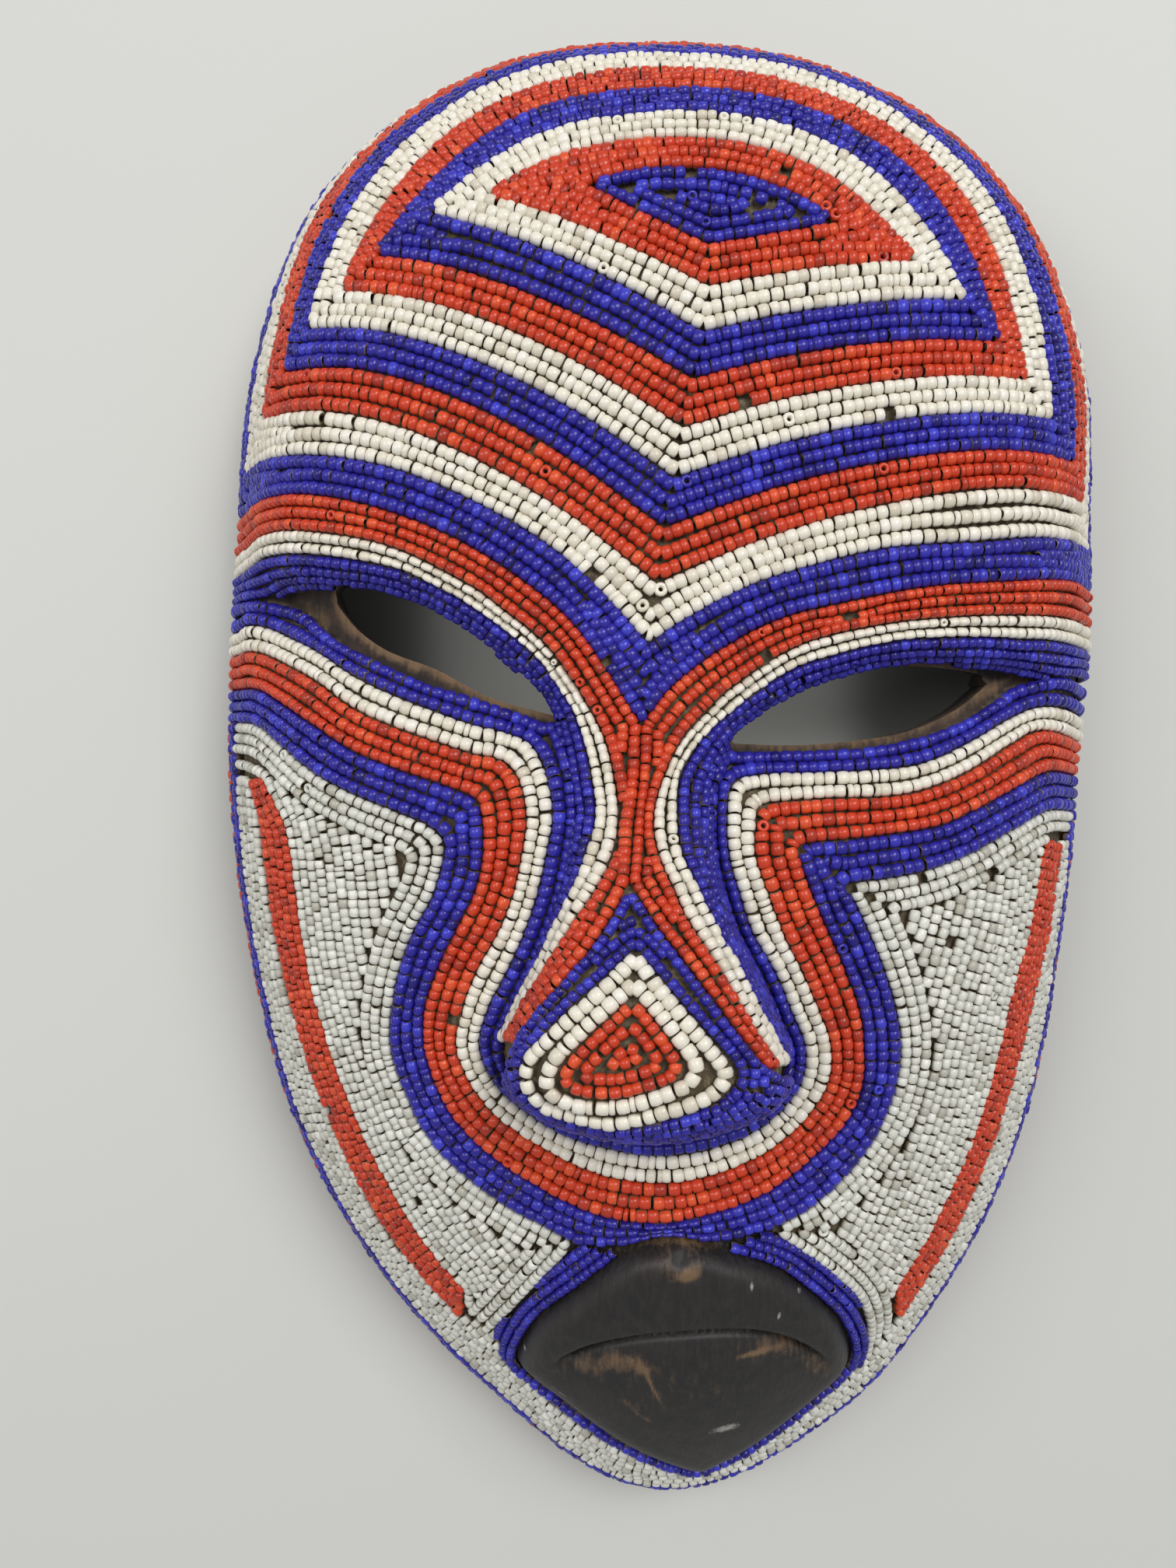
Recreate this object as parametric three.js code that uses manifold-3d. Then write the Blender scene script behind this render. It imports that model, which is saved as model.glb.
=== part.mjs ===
// A beaded face mask that lies on its back, face up. Millimetres, +Z up, +Y toward the crown.
// One hollow carving of light wood carries bands of threaded glass beads glued side by side.
// Each band of beads of one colour is one skin here, laid on the carving along its own course.
import * as THREE from 'three';
import Module from 'manifold-3d';

// Beads and wood
const BEAD = 3.0; // one row of beads, side to side
const GLUE_GAP = 0.95; // from the carving to the underside of a band
const BEAD_TOP = 2.9; // from the carving to the top of the beads
const SEAM = 0.3; // each band stops this far short of the line it shares
// How far the wood lies under the surface the beads are laid on, and more so round the shoulder
const GLUE = { face: 0.65, shoulder: 1.4, middle: 0.97, spread: 0.06 };
const WOOD_WALL = 11;
const WALL_LEAN = 3.9; // how far the upright side wall stands out beyond the edge of the face

// The outline seen from the front: distance from the middle of the face every 15 degrees from +X
const MIDDLE = [-0.5, 6.5];
const RIM_RADII = [106, 113, 126.5, 152, 174, 184, 186, 184.5, 171.5, 146, 123.5, 112.5,
  109, 111, 119, 134, 153, 175.5, 198.9, 184, 158, 135, 117, 108];

// Heights above the table
const FACE_TOP = 77; // the middle of the face without brow and nose
const SIDE_EDGE = 38; // where the face turns down into its side wall
const CROWN_DROP = 6; // the crown's edge is lower by this
const CHIN_DROP = 16; // and the chin's by this
const BROW_RISE = 2;
const NOSE_RISE = 26;
const NOSE_TOP_Y = 12;
const NOSE_TIP_Y = -61.5;
const BRIDGE_WALL = { width: 22, power: 5.5 };
const SOCKET = { depth: 10, reach: 14 };
const LIPS = { height: 8, width: 9, power: 4 };
const LIP_CREASE = { depth: 2, reach: 2.6 };
const SHOULDER = { turn: 12, slope: 0.9 }; // arc over which the edge turns upright, starting slope
const LOWEST_BEADS = 8;

const EDGE_FADE = 0.12; // brow, nose and sockets die away over this share before the edge

// The hollow behind the face: roof thickness, extra depth behind the eyes, and the shares of the
// way out to the wall at which its rings of corners lie
const HOLLOW = {
  roof: 12, eyes: 0.8, reach: 20, sides: 48, shares: [1, 0.93, 0.82, 0.66, 0.46, 0.22],
};

// Centre lines of the two eye slits, outer end first
const EYE_LEFT = [[-91, 41.5], [-80, 38], [-67, 35.5], [-56, 32.5], [-44.5, 27], [-31.5, 16.5]];
const EYE_RIGHT = [[78.5, 24.5], [66.5, 20.5], [53.5, 18], [40.5, 15.5], [29.5, 11], [19, 8.5]];

// The slits themselves: under the foot of the brow, and back along the lower lid
const SLIT_LEFT = {
  over: [[-80.2, 44.9], [-77.5, 46.5], [-65, 44.6], [-54, 40.1], [-44.5, 33.9], [-36.7, 27.4],
    [-30, 22.3], [-27.2, 18]],
  under: [[-27.5, 14.7], [-40.9, 18.4], [-48.2, 21.7], [-55.7, 25.8], [-67.2, 30.2],
    [-75.3, 35.8], [-80, 41.4]],
};
const SLIT_RIGHT = {
  over: [[76.4, 24.3], [71.4, 25.5], [62.8, 26.4], [52.9, 26.6], [44, 26.5], [32, 22.9],
    [22.9, 18.3], [16.4, 13.2], [13.4, 9.8]],
  under: [[15, 8.1], [25.5, 7.7], [34.7, 7.9], [45.6, 9], [57.1, 11.1], [69.5, 16.5],
    [78.2, 23]],
};
// Upright through the face, then widening under the brow toward the hollow
const SLIT = { top: 100, bend: 64, bottom: 30, flare: 4 };

// Foot of the brow and nose walls: over the left eye, down and round the nose, over the right eye
const FOOT_BROW_LEFT = [[-108.5, 46], [-97, 47.3], [-86, 47], [-76.5, 46.7], [-65, 44.8],
  [-54, 40.3], [-44.5, 34.1], [-36.7, 27.6], [-30, 22.5], [-26.9, 18.3], [-26, 13]];
const FOOT_NOSE_LEFT = [[-26, 13], [-23.5, 6.5], [-22, 0], [-21.5, -9], [-22.5, -18.5],
  [-24.5, -27.5], [-28, -37], [-32, -46], [-36.5, -55], [-39, -63], [-37, -70.5]];
const FOOT_NOSE_BOTTOM = [[-37, -70.5], [-31, -75], [-22, -78.5], [-9, -80.5], [3.5, -79.5],
  [14, -76.5], [21.5, -73], [25.5, -67.5]];
const FOOT_NOSE_RIGHT = [[25.5, -67.5], [25.5, -62.5], [22, -55], [18, -46], [13.5, -37], [10, -27.5],
  [8, -18.5], [7.5, -9], [8, -1], [11.5, 6.5]];
const FOOT_BROW_RIGHT = [[11.5, 6.5], [12.7, 9.6], [16.2, 13.5], [22.9, 18.5], [32, 23.1],
  [44, 26.8], [52.5, 28.2], [61.5, 28.5], [71.5, 27.9], [83, 27], [95, 25.5], [107.5, 25]];

// Beadless carving: the mouth's raised outline, its crease, and the lower lids
const MOUTH = [[-38, -149], [-32, -134], [-20.5, -121], [-11.5, -112], [-4.5, -109], [1.5, -108.4],
  [10.5, -110.2], [25.5, -116.5], [36, -126], [43.5, -135.5], [48.5, -148], [47, -155],
  [39.5, -163], [27, -174.5], [17, -182], [9.5, -185.5], [-1, -179.5], [-13.5, -171.5],
  [-27, -161], [-36, -154.5]];
const CREASE = [[-29.5, -145], [-24, -140.5], [-17.5, -136], [-7.5, -132.2], [3, -130.7],
  [12.5, -130.5], [22, -132], [30.5, -136], [38, -142], [42, -146.5]];
const LID_LEFT = [[-99, 44.6], [-91.5, 42.6], [-87, 39.8], [-82.5, 35.1], [-77, 31], [-66.4, 25.5],
  [-57, 21.2], [-48.3, 18.6], [-37.4, 15.3], [-28.5, 12.3]];
const LID_RIGHT = [[14, 5.8], [25.3, 5.6], [34.4, 5.7], [43.2, 6], [52.4, 7.3], [62, 9.8],
  [70.3, 13.2], [79, 18.4], [84.5, 22.2]];

// Forehead rings from the lens in the middle outward: left corner, right corner, the point of the
// chevron, and how far out the arc runs at its quarters, as a share of the outline
const RINGS = [
  { left: [-21.5, 135], right: [39, 126], point: [7.5, 120.5], arc: [0.711, 0.711, 0.702] },
  { left: [-43, 133], right: [55.5, 117.5], point: [7.5, 111], arc: [0.745, 0.752, 0.738] },
  { left: [-56, 129.5], right: [67, 109], point: [6.5, 100.5], arc: [0.78, 0.791, 0.773] },
  { left: [-68, 120], right: [74.5, 99.5], point: [4, 90], arc: [0.814, 0.829, 0.808] },
  { left: [-76, 112.5], right: [81, 91.5], point: [2, 79], arc: [0.85, 0.866, 0.842] },
  { left: [-84.5, 105.5], right: [88, 83.5], point: [0, 67.5], arc: [0.888, 0.901, 0.876] },
  { left: [-91, 97], right: [95.5, 75.5], point: [-2.5, 56.5], arc: [0.923, 0.935, 0.911] },
  { left: [-98, 87.5], right: [101, 68], point: [-4, 44], arc: [0.958, 0.967, 0.951] },
];
// The arms of the chevrons arch upward, more on each ring outward
const ARM_ARCH = { left: 1.3, right: 0.85 };

// Courses of the bands below the rings, each from the left edge inward
const WHITE_BROW_LEFT = [[-107, 79.5], [-97, 77.5], [-83.5, 75], [-64.5, 70.5], [-46.5, 63],
  [-29, 53], [-17, 42.5], [-6, 30]];
const WHITE_BROW_RIGHT = [[-6, 30], [2, 35.5], [16, 43], [31.5, 48], [49, 52], [67.5, 53.5],
  [86, 56], [105, 57.5]];
const BLUE_BROW_LEFT = [[-108, 69.5], [-98.5, 68.5], [-83.5, 66], [-64.5, 60.5], [-46.5, 52.5],
  [-29, 40.5], [-19, 30], [-7.5, 12]];
const BLUE_BROW_RIGHT = [[-7.5, 12], [-1.5, 20], [9, 28], [23, 35.5], [40.5, 40], [58.5, 43.5],
  [77.5, 45.5], [95, 48], [107, 49]];
const NOSE_RIDGE = [[-7.5, 12], [-8, 0], [-9, -9], [-10.5, -23.5]];
const RED_BROW_LEFT = [[-108.5, 59.5], [-95.5, 59.4], [-83.5, 57.6], [-64.5, 53], [-47, 44.5],
  [-38, 38.1], [-29.5, 31.2], [-23.6, 24.1], [-19, 16.2], [-15.5, 8.5], [-13.5, 0], [-12.5, -8.5],
  [-13.5, -16.5], [-17, -25], [-22, -33.5], [-27, -42], [-32, -50.5], [-36.6, -59]];
const WHITE_EYE_LEFT = [[-109, 53.5], [-97, 54.2], [-84, 53], [-65, 49.3], [-56, 45.8], [-47, 41],
  [-38, 34.8], [-30, 27.9], [-23.7, 19.8], [-20, 10], [-18, 0], [-17, -8.5], [-18.5, -17],
  [-21.5, -25.5], [-25.5, -34], [-29.5, -43], [-34, -51.5], [-38, -60.5]];
const RED_BROW_RIGHT = [[107, 39.5], [87, 38.4], [68, 37.3], [49.5, 35.4], [33, 31.8],
  [23.6, 27.8], [14.4, 21.8], [9.4, 17.6], [1.7, 8.6], [-2.5, 0], [-5, -8.5], [-4.5, -16.5],
  [-1.5, -24.5], [2, -32.5], [7, -40.5], [11.5, -48.5], [16, -56.5], [19.5, -61.5]];
const WHITE_EYE_RIGHT = [[106.5, 33.4], [87.5, 33.3], [68.5, 33.3], [50, 32.1], [31, 27.2],
  [21, 22.2], [11.4, 15.2], [7.2, 10.8], [3.9, 6], [0.8, 0], [0, -8.5], [0.5, -17], [3.5, -25],
  [7, -33], [11, -41], [15, -49], [19.5, -57], [22.5, -62.5]];
const BLUE_CHEEK = [[-109, 38], [-102.5, 38.5], [-86.5, 31], [-75.5, 24], [-65.5, 19],
  [-47.5, 12], [-39.5, 10], [-33, 7], [-29, 0], [-27.5, -9], [-29, -17.5], [-31, -26.5],
  [-34, -35.5], [-38, -44.5], [-42.5, -53.5], [-44.5, -63], [-39.5, -73], [-27, -82],
  [-15, -86], [-2.5, -87.5], [10, -85.5], [20.5, -81], [29, -72], [30.5, -62.5],
  [27, -53.5], [23, -44], [18, -35.5], [15, -26.5], [12.5, -17.5], [12, -9], [13.5, -2],
  [20, 0], [33, 0.5], [51, 1.5], [60.5, 3.5], [71, 8], [82.5, 14], [92.5, 17.5], [106.5, 16.5]];
const WHITE_CHEEK = [[-109, 32], [-102, 31.5], [-85.5, 23.5], [-75, 16.5], [-65.5, 12],
  [-47.5, 5.5], [-40, 3.5], [-35.5, -1], [-33.5, -9], [-34.5, -17.5], [-36.5, -26.5],
  [-40, -35.5], [-45, -44.5], [-48.5, -54], [-50, -63.5], [-45.5, -73.5], [-37, -82],
  [-20.5, -91], [-4.5, -94], [10, -92], [24.5, -85], [35, -73], [36.5, -62.5],
  [33.5, -53.5], [29.5, -44.5], [25, -35.5], [21.5, -26.5], [18.5, -17.5], [19, -10.5],
  [21, -7], [32.5, -5.5], [50.5, -4.5], [60, -2.5], [70, 1.5], [81, 7.5], [91, 11.5], [106, 10]];
const RED_CHEEK = [[-109, 23], [-99.5, 21.5], [-85, 13], [-74.5, 6.5], [-65, 2.5], [-47, -4],
  [-44, -8], [-43.5, -18], [-45.5, -26.5], [-50, -35.5], [-54.5, -45], [-57.5, -54.5],
  [-57.5, -64], [-54.5, -74], [-49, -83], [-39, -91.5], [-20.5, -101.5], [-4.5, -104],
  [10, -101.5], [24.5, -95.5], [39.5, -82], [44, -73], [44.5, -63], [43, -53.5], [39.5, -44.5],
  [35.5, -35.5], [31.5, -26.5], [29, -18.5], [29.5, -15.5], [41.5, -14], [60, -11.5],
  [69.5, -8], [80.5, -3], [92, 1.5], [105.5, 1]];
const BLUE_JAW_LEFT = [[-109, 14.5], [-99.5, 12.5], [-85, 2], [-74.5, -3.5], [-65.5, -7],
  [-56, -11], [-52.5, -14.5], [-52.5, -18], [-55, -27], [-60, -36], [-63.5, -45.5],
  [-65.5, -55], [-66, -64.5], [-63, -74.5], [-59, -84], [-51.5, -93], [-39, -102], [-22, -110.5]];
const BLUE_JAW_MIDDLE = [[-22, -110.5], [-11.5, -110], [-4.5, -107.6], [1.5, -107.2],
  [10.5, -108.6], [23, -106.5]];
const BLUE_JAW_RIGHT = [[23, -106.5], [33.5, -101], [43, -92], [49, -83], [52.5, -73.5],
  [53.5, -63.5], [52, -54], [49, -45], [45, -35.5], [41, -27.5], [39.5, -24.5], [50.5, -23],
  [60, -21], [70, -17.5], [80.5, -12.5], [92.5, -8], [105, -8.5]];
const STRIPE_LEFT_IN = [[-98.5, 0], [-92.5, -10], [-90.5, -18.5], [-88.5, -38], [-85, -57],
  [-79, -77], [-71, -97], [-60, -117], [-50, -129]];
const STRIPE_LEFT_OUT = [[-103.5, -0.5], [-100.5, -9.5], [-99, -19.5], [-97, -39], [-93, -58.5],
  [-87.5, -79], [-79.5, -100], [-68, -121], [-52, -140]];
const STRIPE_RIGHT_IN = [[92.5, -15.5], [90.5, -19], [88, -38], [82.5, -57], [79, -77],
  [73, -97], [64.5, -117.5], [58, -129]];
const STRIPE_RIGHT_OUT = [[99.5, -16.5], [99, -19.5], [96.5, -39.5], [91.5, -59], [87, -79],
  [81, -100], [73, -121], [61, -141]];
const MOUTH_BAND_LEFT = [[-22, -110.5], [-32, -124], [-43, -140.5]];
const MOUTH_BAND_UNDER = [[-43, -140.5], [-40, -152.8], [-28.8, -162.4], [-13.5, -173.6], [-1, -181.6],
  [9.5, -187.6], [17.3, -184.3], [27.3, -176.8], [40.2, -165.4], [52, -152.5]];
const MOUTH_BAND_RIGHT = [[23, -106.5], [35.5, -116.5], [46.5, -128.5], [51.5, -140.5],
  [52, -152.5]];
const CHEEK_TOP_LEFT = [[-109, 2.5], [-104, 1.5]];
const CHEEK_TOP_RIGHT = [[104, -14.5], [98, -14.5]];
const CHEEK_END_LEFT = [[-51, -139.5]];
const CHEEK_END_RIGHT = [[60, -140.5]];
const WHITE_EDGE_LEFT = [-108.6, 0.5];
const WHITE_EDGE_RIGHT = [104, -16];
const NOSE_BLUE_LEFT = [[-10.5, -23.5], [-15, -32], [-21, -40.5], [-28, -49.5], [-34, -58]];
const NOSE_BLUE_RIGHT = [[-10.5, -23.5], [-5, -32], [1, -40], [7, -48], [12, -55],
  [16.5, -61]];
const NOSE_WHITE = [[-9.5, -36.5], [-22, -48], [-30, -57], [-32.5, -61.5], [-32, -66],
  [-28.5, -69.5], [-20.5, -72], [-12.5, -72.5], [0, -69.5], [6.5, -67], [10.5, -63.5],
  [10.5, -59.5], [0.5, -48]];
const NOSE_RED = [[-10, -45.5], [-21.5, -56], [-25.5, -61.5], [-25, -64], [-20.5, -66],
  [-12.5, -66], [-4, -63.5], [-0.5, -61.5], [0, -58.5], [-4.5, -52]];

// Colours of the real thing
const COLOUR = { red: 0xc8391c, blue: 0x2a2fb4, white: 0xe9e2d3, grey: 0xc9c7bd, wood: 0x2a211b };

const ROUGHNESS = { glass: 0.25, wood: 0.7 };

// How far apart the corners of a course stand
const PACE = { ring: 18, small: 14, brow: 12, cheek: 12, fill: 15, edge: 19, chin: 13, nose: 8,
  climb: 3 };
const ARC_STEPS = 12;
const SWEEP_STEPS = 24;
const PROBE = 1.6; // the surface's slope at a point is taken over this distance to each side

// How far up the mouth's outline the two ends of its band reach, between its corners there
const MOUTH_BAND_ENDS = { left: 0.75, right: 0.35 };

// Folds of the carving: how far apart their corners stand, and the lines of corners beside them
const FOLDS = {
  foot: { pace: 6, offsets: [2, 5, 10, -6] },
  mouth: { pace: 7, offsets: [2.2, 5.5, -5], closed: true },
  crease: { pace: 7, offsets: [3, -3] },
  eye: { pace: 9, offsets: [9, -9], clearance: 5 },
};
const FOLD_CLEARANCE = 1.6;
const SPREAD = { pace: 14, width: 130, height: 210, clearance: 0.62 };
const OUTER_TRIANGLE = 4000; // a triangle of this reach holds every corner of the plane

// How far down the side wall the bands round the crown reach, three, three and two rows of beads
const DROP = { blue: 3 * BEAD, red: 6 * BEAD, white: 8 * BEAD };

// Small helpers in the plane
const clamp = (t) => Math.min(1, Math.max(0, t));
const smooth = (t) => clamp(t) ** 2 * (3 - 2 * clamp(t));
const mix = (a, b, t) => [a[0] + (b[0] - a[0]) * t, a[1] + (b[1] - a[1]) * t];
const gap = (a, b) => Math.hypot(a[0] - b[0], a[1] - b[1]);
const start = (line) => line[0];
const end = (line) => line[line.length - 1];
const reversed = (line) => line.slice().reverse();

function cubic(before, from, to, after, t) {
  return 0.5 * (2 * from + (to - before) * t + (2 * before - 5 * from + 4 * to - after) * t * t
    + (3 * from - before - 3 * to + after) * t ** 3);
}

// A smooth open or closed line through its points, as short straight steps
function smoothLine(points, closed = false, steps = 6) {
  const count = points.length;
  const at = (i) => {
    if (closed) return points[(i + count) % count];
    if (i < 0) return mix(points[0], points[1], -1);
    return i < count ? points[i] : mix(points[count - 1], points[count - 2], -1);
  };
  const line = [];
  for (let i = 0; i < (closed ? count : count - 1); i += 1) {
    for (let k = 0; k < steps; k += 1) {
      const around = [at(i - 1), at(i), at(i + 1), at(i + 2)];
      line.push([0, 1].map((axis) => cubic(...around.map((p) => p[axis]), k / steps)));
    }
  }
  if (!closed) line.push(points[count - 1]);
  return line;
}

// The same line cut into equal pieces
function cut(line, pieces) {
  const run = [0];
  for (let i = 1; i < line.length; i += 1) run.push(run[i - 1] + gap(line[i - 1], line[i]));
  const total = run[run.length - 1];
  const points = [];
  for (let k = 0, i = 1; k <= pieces; k += 1) {
    const want = total * k / pieces;
    while (i < line.length - 1 && run[i] < want) i += 1;
    points.push(mix(line[i - 1], line[i], clamp((want - run[i - 1]) / (run[i] - run[i - 1]))));
  }
  return points;
}

const lengthOf = (line) => line.slice(1).reduce((sum, p, i) => sum + gap(line[i], p), 0);

// A smooth stretch of a course, cut into even pieces
function stretch(points, pace) {
  const line = smoothLine(points);
  return cut(line, Math.max(1, Math.round(lengthOf(line) / pace)));
}

// Stretches that meet at sharp corners, as one course
function join(...stretches) {
  return stretches.flatMap((points, i) => (i ? points.slice(1) : points));
}

function nearestOn(line, [x, y], closed = false) {
  let best = line[0];
  for (let i = closed ? 0 : 1; i < line.length; i += 1) {
    const a = line[(i + line.length - 1) % line.length];
    const b = line[i];
    const [dx, dy] = [b[0] - a[0], b[1] - a[1]];
    const t = clamp(((x - a[0]) * dx + (y - a[1]) * dy) / (dx * dx + dy * dy || 1));
    const point = mix(a, b, t);
    if (gap(point, [x, y]) < gap(best, [x, y])) best = point;
  }
  return best;
}

const distanceTo = (line, x, y, closed) => gap(nearestOn(line, [x, y], closed), [x, y]);

function isInside(loop, x, y) {
  let inside = false;
  for (let i = 0; i < loop.length; i += 1) {
    const [a, b] = [loop[(i + loop.length - 1) % loop.length], loop[i]];
    const crosses = (a[1] > y) !== (b[1] > y);
    if (crosses && x < a[0] + (y - a[1]) * (b[0] - a[0]) / (b[1] - a[1])) inside = !inside;
  }
  return inside;
}

// Form of the carving
const eyes = [smoothLine(EYE_LEFT), smoothLine(EYE_RIGHT)];
const mouthLoop = smoothLine(MOUTH, true, 3);
const creaseLine = smoothLine(CREASE);
const foot = [FOOT_BROW_LEFT, FOOT_NOSE_LEFT, FOOT_NOSE_BOTTOM, FOOT_NOSE_RIGHT, FOOT_BROW_RIGHT];
const footLine = foot.flatMap((stretch) => smoothLine(stretch, false, 3));
const upperFace = [...footLine, [150, 22], [150, 260], [-150, 260], [-150, 41.5]];

function polar(x, y) {
  const [dx, dy] = [x - MIDDLE[0], y - MIDDLE[1]];
  return { angle: Math.atan2(dy, dx), distance: Math.hypot(dx, dy) };
}

function rimRadius(angle) {
  const count = RIM_RADII.length;
  const turn = ((angle / (2 * Math.PI)) % 1 + 1) % 1 * count;
  const i = Math.floor(turn);
  const around = [-1, 0, 1, 2].map((k) => RIM_RADII[(i + k + count) % count]);
  return cubic(...around, turn - i);
}

function edgeHeight(angle) {
  const up = Math.sin(angle);
  return SIDE_EDGE - (up > 0 ? CROWN_DROP : CHIN_DROP) * up * up;
}

// The plain vault of the face, from the middle out to the edge
function vault(x, y) {
  const { angle, distance } = polar(x, y);
  const share = distance / rimRadius(angle);
  const up = smooth(Math.sin(angle));
  const down = smooth(-Math.sin(angle));
  const power = 6 + 2 * up - 2 * down;
  const early = 0.25 * (1 - up);
  const edge = edgeHeight(angle);
  const height = edge + (FACE_TOP - edge) * (1 - early * share ** 2 - (1 - early) * share ** power);
  return { height, share };
}

const wallShape = (d, wall) => 1 - (1 - clamp(d / wall.width)) ** wall.power;

function socketDepth(x, y, reach) {
  const d = Math.min(...eyes.map((line) => distanceTo(line, x, y)));
  return SOCKET.depth * Math.exp(-((d / reach) ** 2));
}

function frontHeight(x, y) {
  const { height, share } = vault(x, y);
  const fade = smooth((1 - share) / EDGE_FADE);
  let z = height - fade * socketDepth(x, y, SOCKET.reach);
  if (isInside(upperFace, x, y)) {
    const nose = NOSE_RISE * smooth((NOSE_TOP_Y - y) / (NOSE_TOP_Y - NOSE_TIP_Y));
    const top = height + fade * (BROW_RISE + nose);
    z += (top - z) * wallShape(distanceTo(footLine, x, y), BRIDGE_WALL);
  }
  if (isInside(mouthLoop, x, y)) {
    z += LIPS.height * wallShape(distanceTo(mouthLoop, x, y, true), LIPS);
    z -= LIP_CREASE.depth * Math.exp(-((distanceTo(creaseLine, x, y) / LIP_CREASE.reach) ** 2));
  }
  return z;
}

// From the plane of the pattern to the carving. Beyond the outline the plane runs on over the
// shoulder and down the side wall, so that a band can be drawn there as on the face.
function lift(x, y) {
  const { angle, distance } = polar(x, y);
  const radius = rimRadius(angle);
  if (distance <= radius) return new THREE.Vector3(x, y, frontHeight(x, y));
  const beyond = distance - radius;
  const step = 0.01;
  const rim = (a) => [Math.cos(a) * rimRadius(a), Math.sin(a) * rimRadius(a)];
  const [p, q] = [rim(angle - step), rim(angle + step)];
  const outward = new THREE.Vector3(q[1] - p[1], p[0] - q[0], 0).normalize();
  const turned = Math.min(beyond, SHOULDER.turn);
  const bend = (Math.PI / 2 - SHOULDER.slope) / SHOULDER.turn;
  const slope = SHOULDER.slope + bend * turned;
  const out = (Math.sin(slope) - Math.sin(SHOULDER.slope)) / bend;
  const down = (Math.cos(SHOULDER.slope) - Math.cos(slope)) / bend + beyond - turned;
  const start = rim(angle);
  return new THREE.Vector3(MIDDLE[0] + start[0] + outward.x * out,
    MIDDLE[1] + start[1] + outward.y * out, edgeHeight(angle) - down);
}

function normalAt(x, y) {
  const along = lift(x + PROBE, y).sub(lift(x - PROBE, y));
  const across = lift(x, y + PROBE).sub(lift(x, y - PROBE));
  return along.cross(across).normalize();
}

// How far beyond the outline the side wall comes down to a height
function beyondFor(angle, height) {
  const bend = (Math.PI / 2 - SHOULDER.slope) / SHOULDER.turn;
  return edgeHeight(angle) - height - Math.cos(SHOULDER.slope) / bend + SHOULDER.turn;
}

const onRim = (angle, share = 1, beyond = 0) => {
  const radius = rimRadius(angle) * share + beyond;
  return [MIDDLE[0] + Math.cos(angle) * radius, MIDDLE[1] + Math.sin(angle) * radius];
};

// Runs a course on from its end at the edge, straight down the side wall
function downSide(end, reach) {
  const { angle } = polar(...end);
  return onRim(angle, 1, reach);
}

// Where the bands of the brow turn upward on the side wall
const CORNER = {
  blueLeft: downSide(start(BLUE_BROW_LEFT), DROP.blue),
  blueRight: downSide(end(BLUE_BROW_RIGHT), DROP.blue),
  redLeft: downSide(start(RED_BROW_LEFT), DROP.red),
  redRight: downSide(start(RED_BROW_RIGHT), DROP.red),
  whiteLeft: downSide(start(WHITE_EYE_LEFT), DROP.white),
  whiteRight: downSide(start(WHITE_EYE_RIGHT), DROP.white),
};

// Which way a line turns off at each of its points, as an offset of unit width toward its left
function leftward(line, closed) {
  const count = line.length;
  return line.map((p, i) => {
    const before = closed ? line[(i + count - 1) % count] : line[Math.max(0, i - 1)];
    const after = closed ? line[(i + 1) % count] : line[Math.min(count - 1, i + 1)];
    const normals = [[before, p], [p, after]].filter(([a, b]) => gap(a, b) > 0)
      .map(([a, b]) => [(a[1] - b[1]) / gap(a, b), (b[0] - a[0]) / gap(a, b)]);
    const sum = normals.reduce((a, b) => [a[0] + b[0], a[1] + b[1]]);
    const scale = normals.length / Math.max(0.6, sum[0] ** 2 + sum[1] ** 2);
    return [sum[0] * scale, sum[1] * scale];
  });
}

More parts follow.
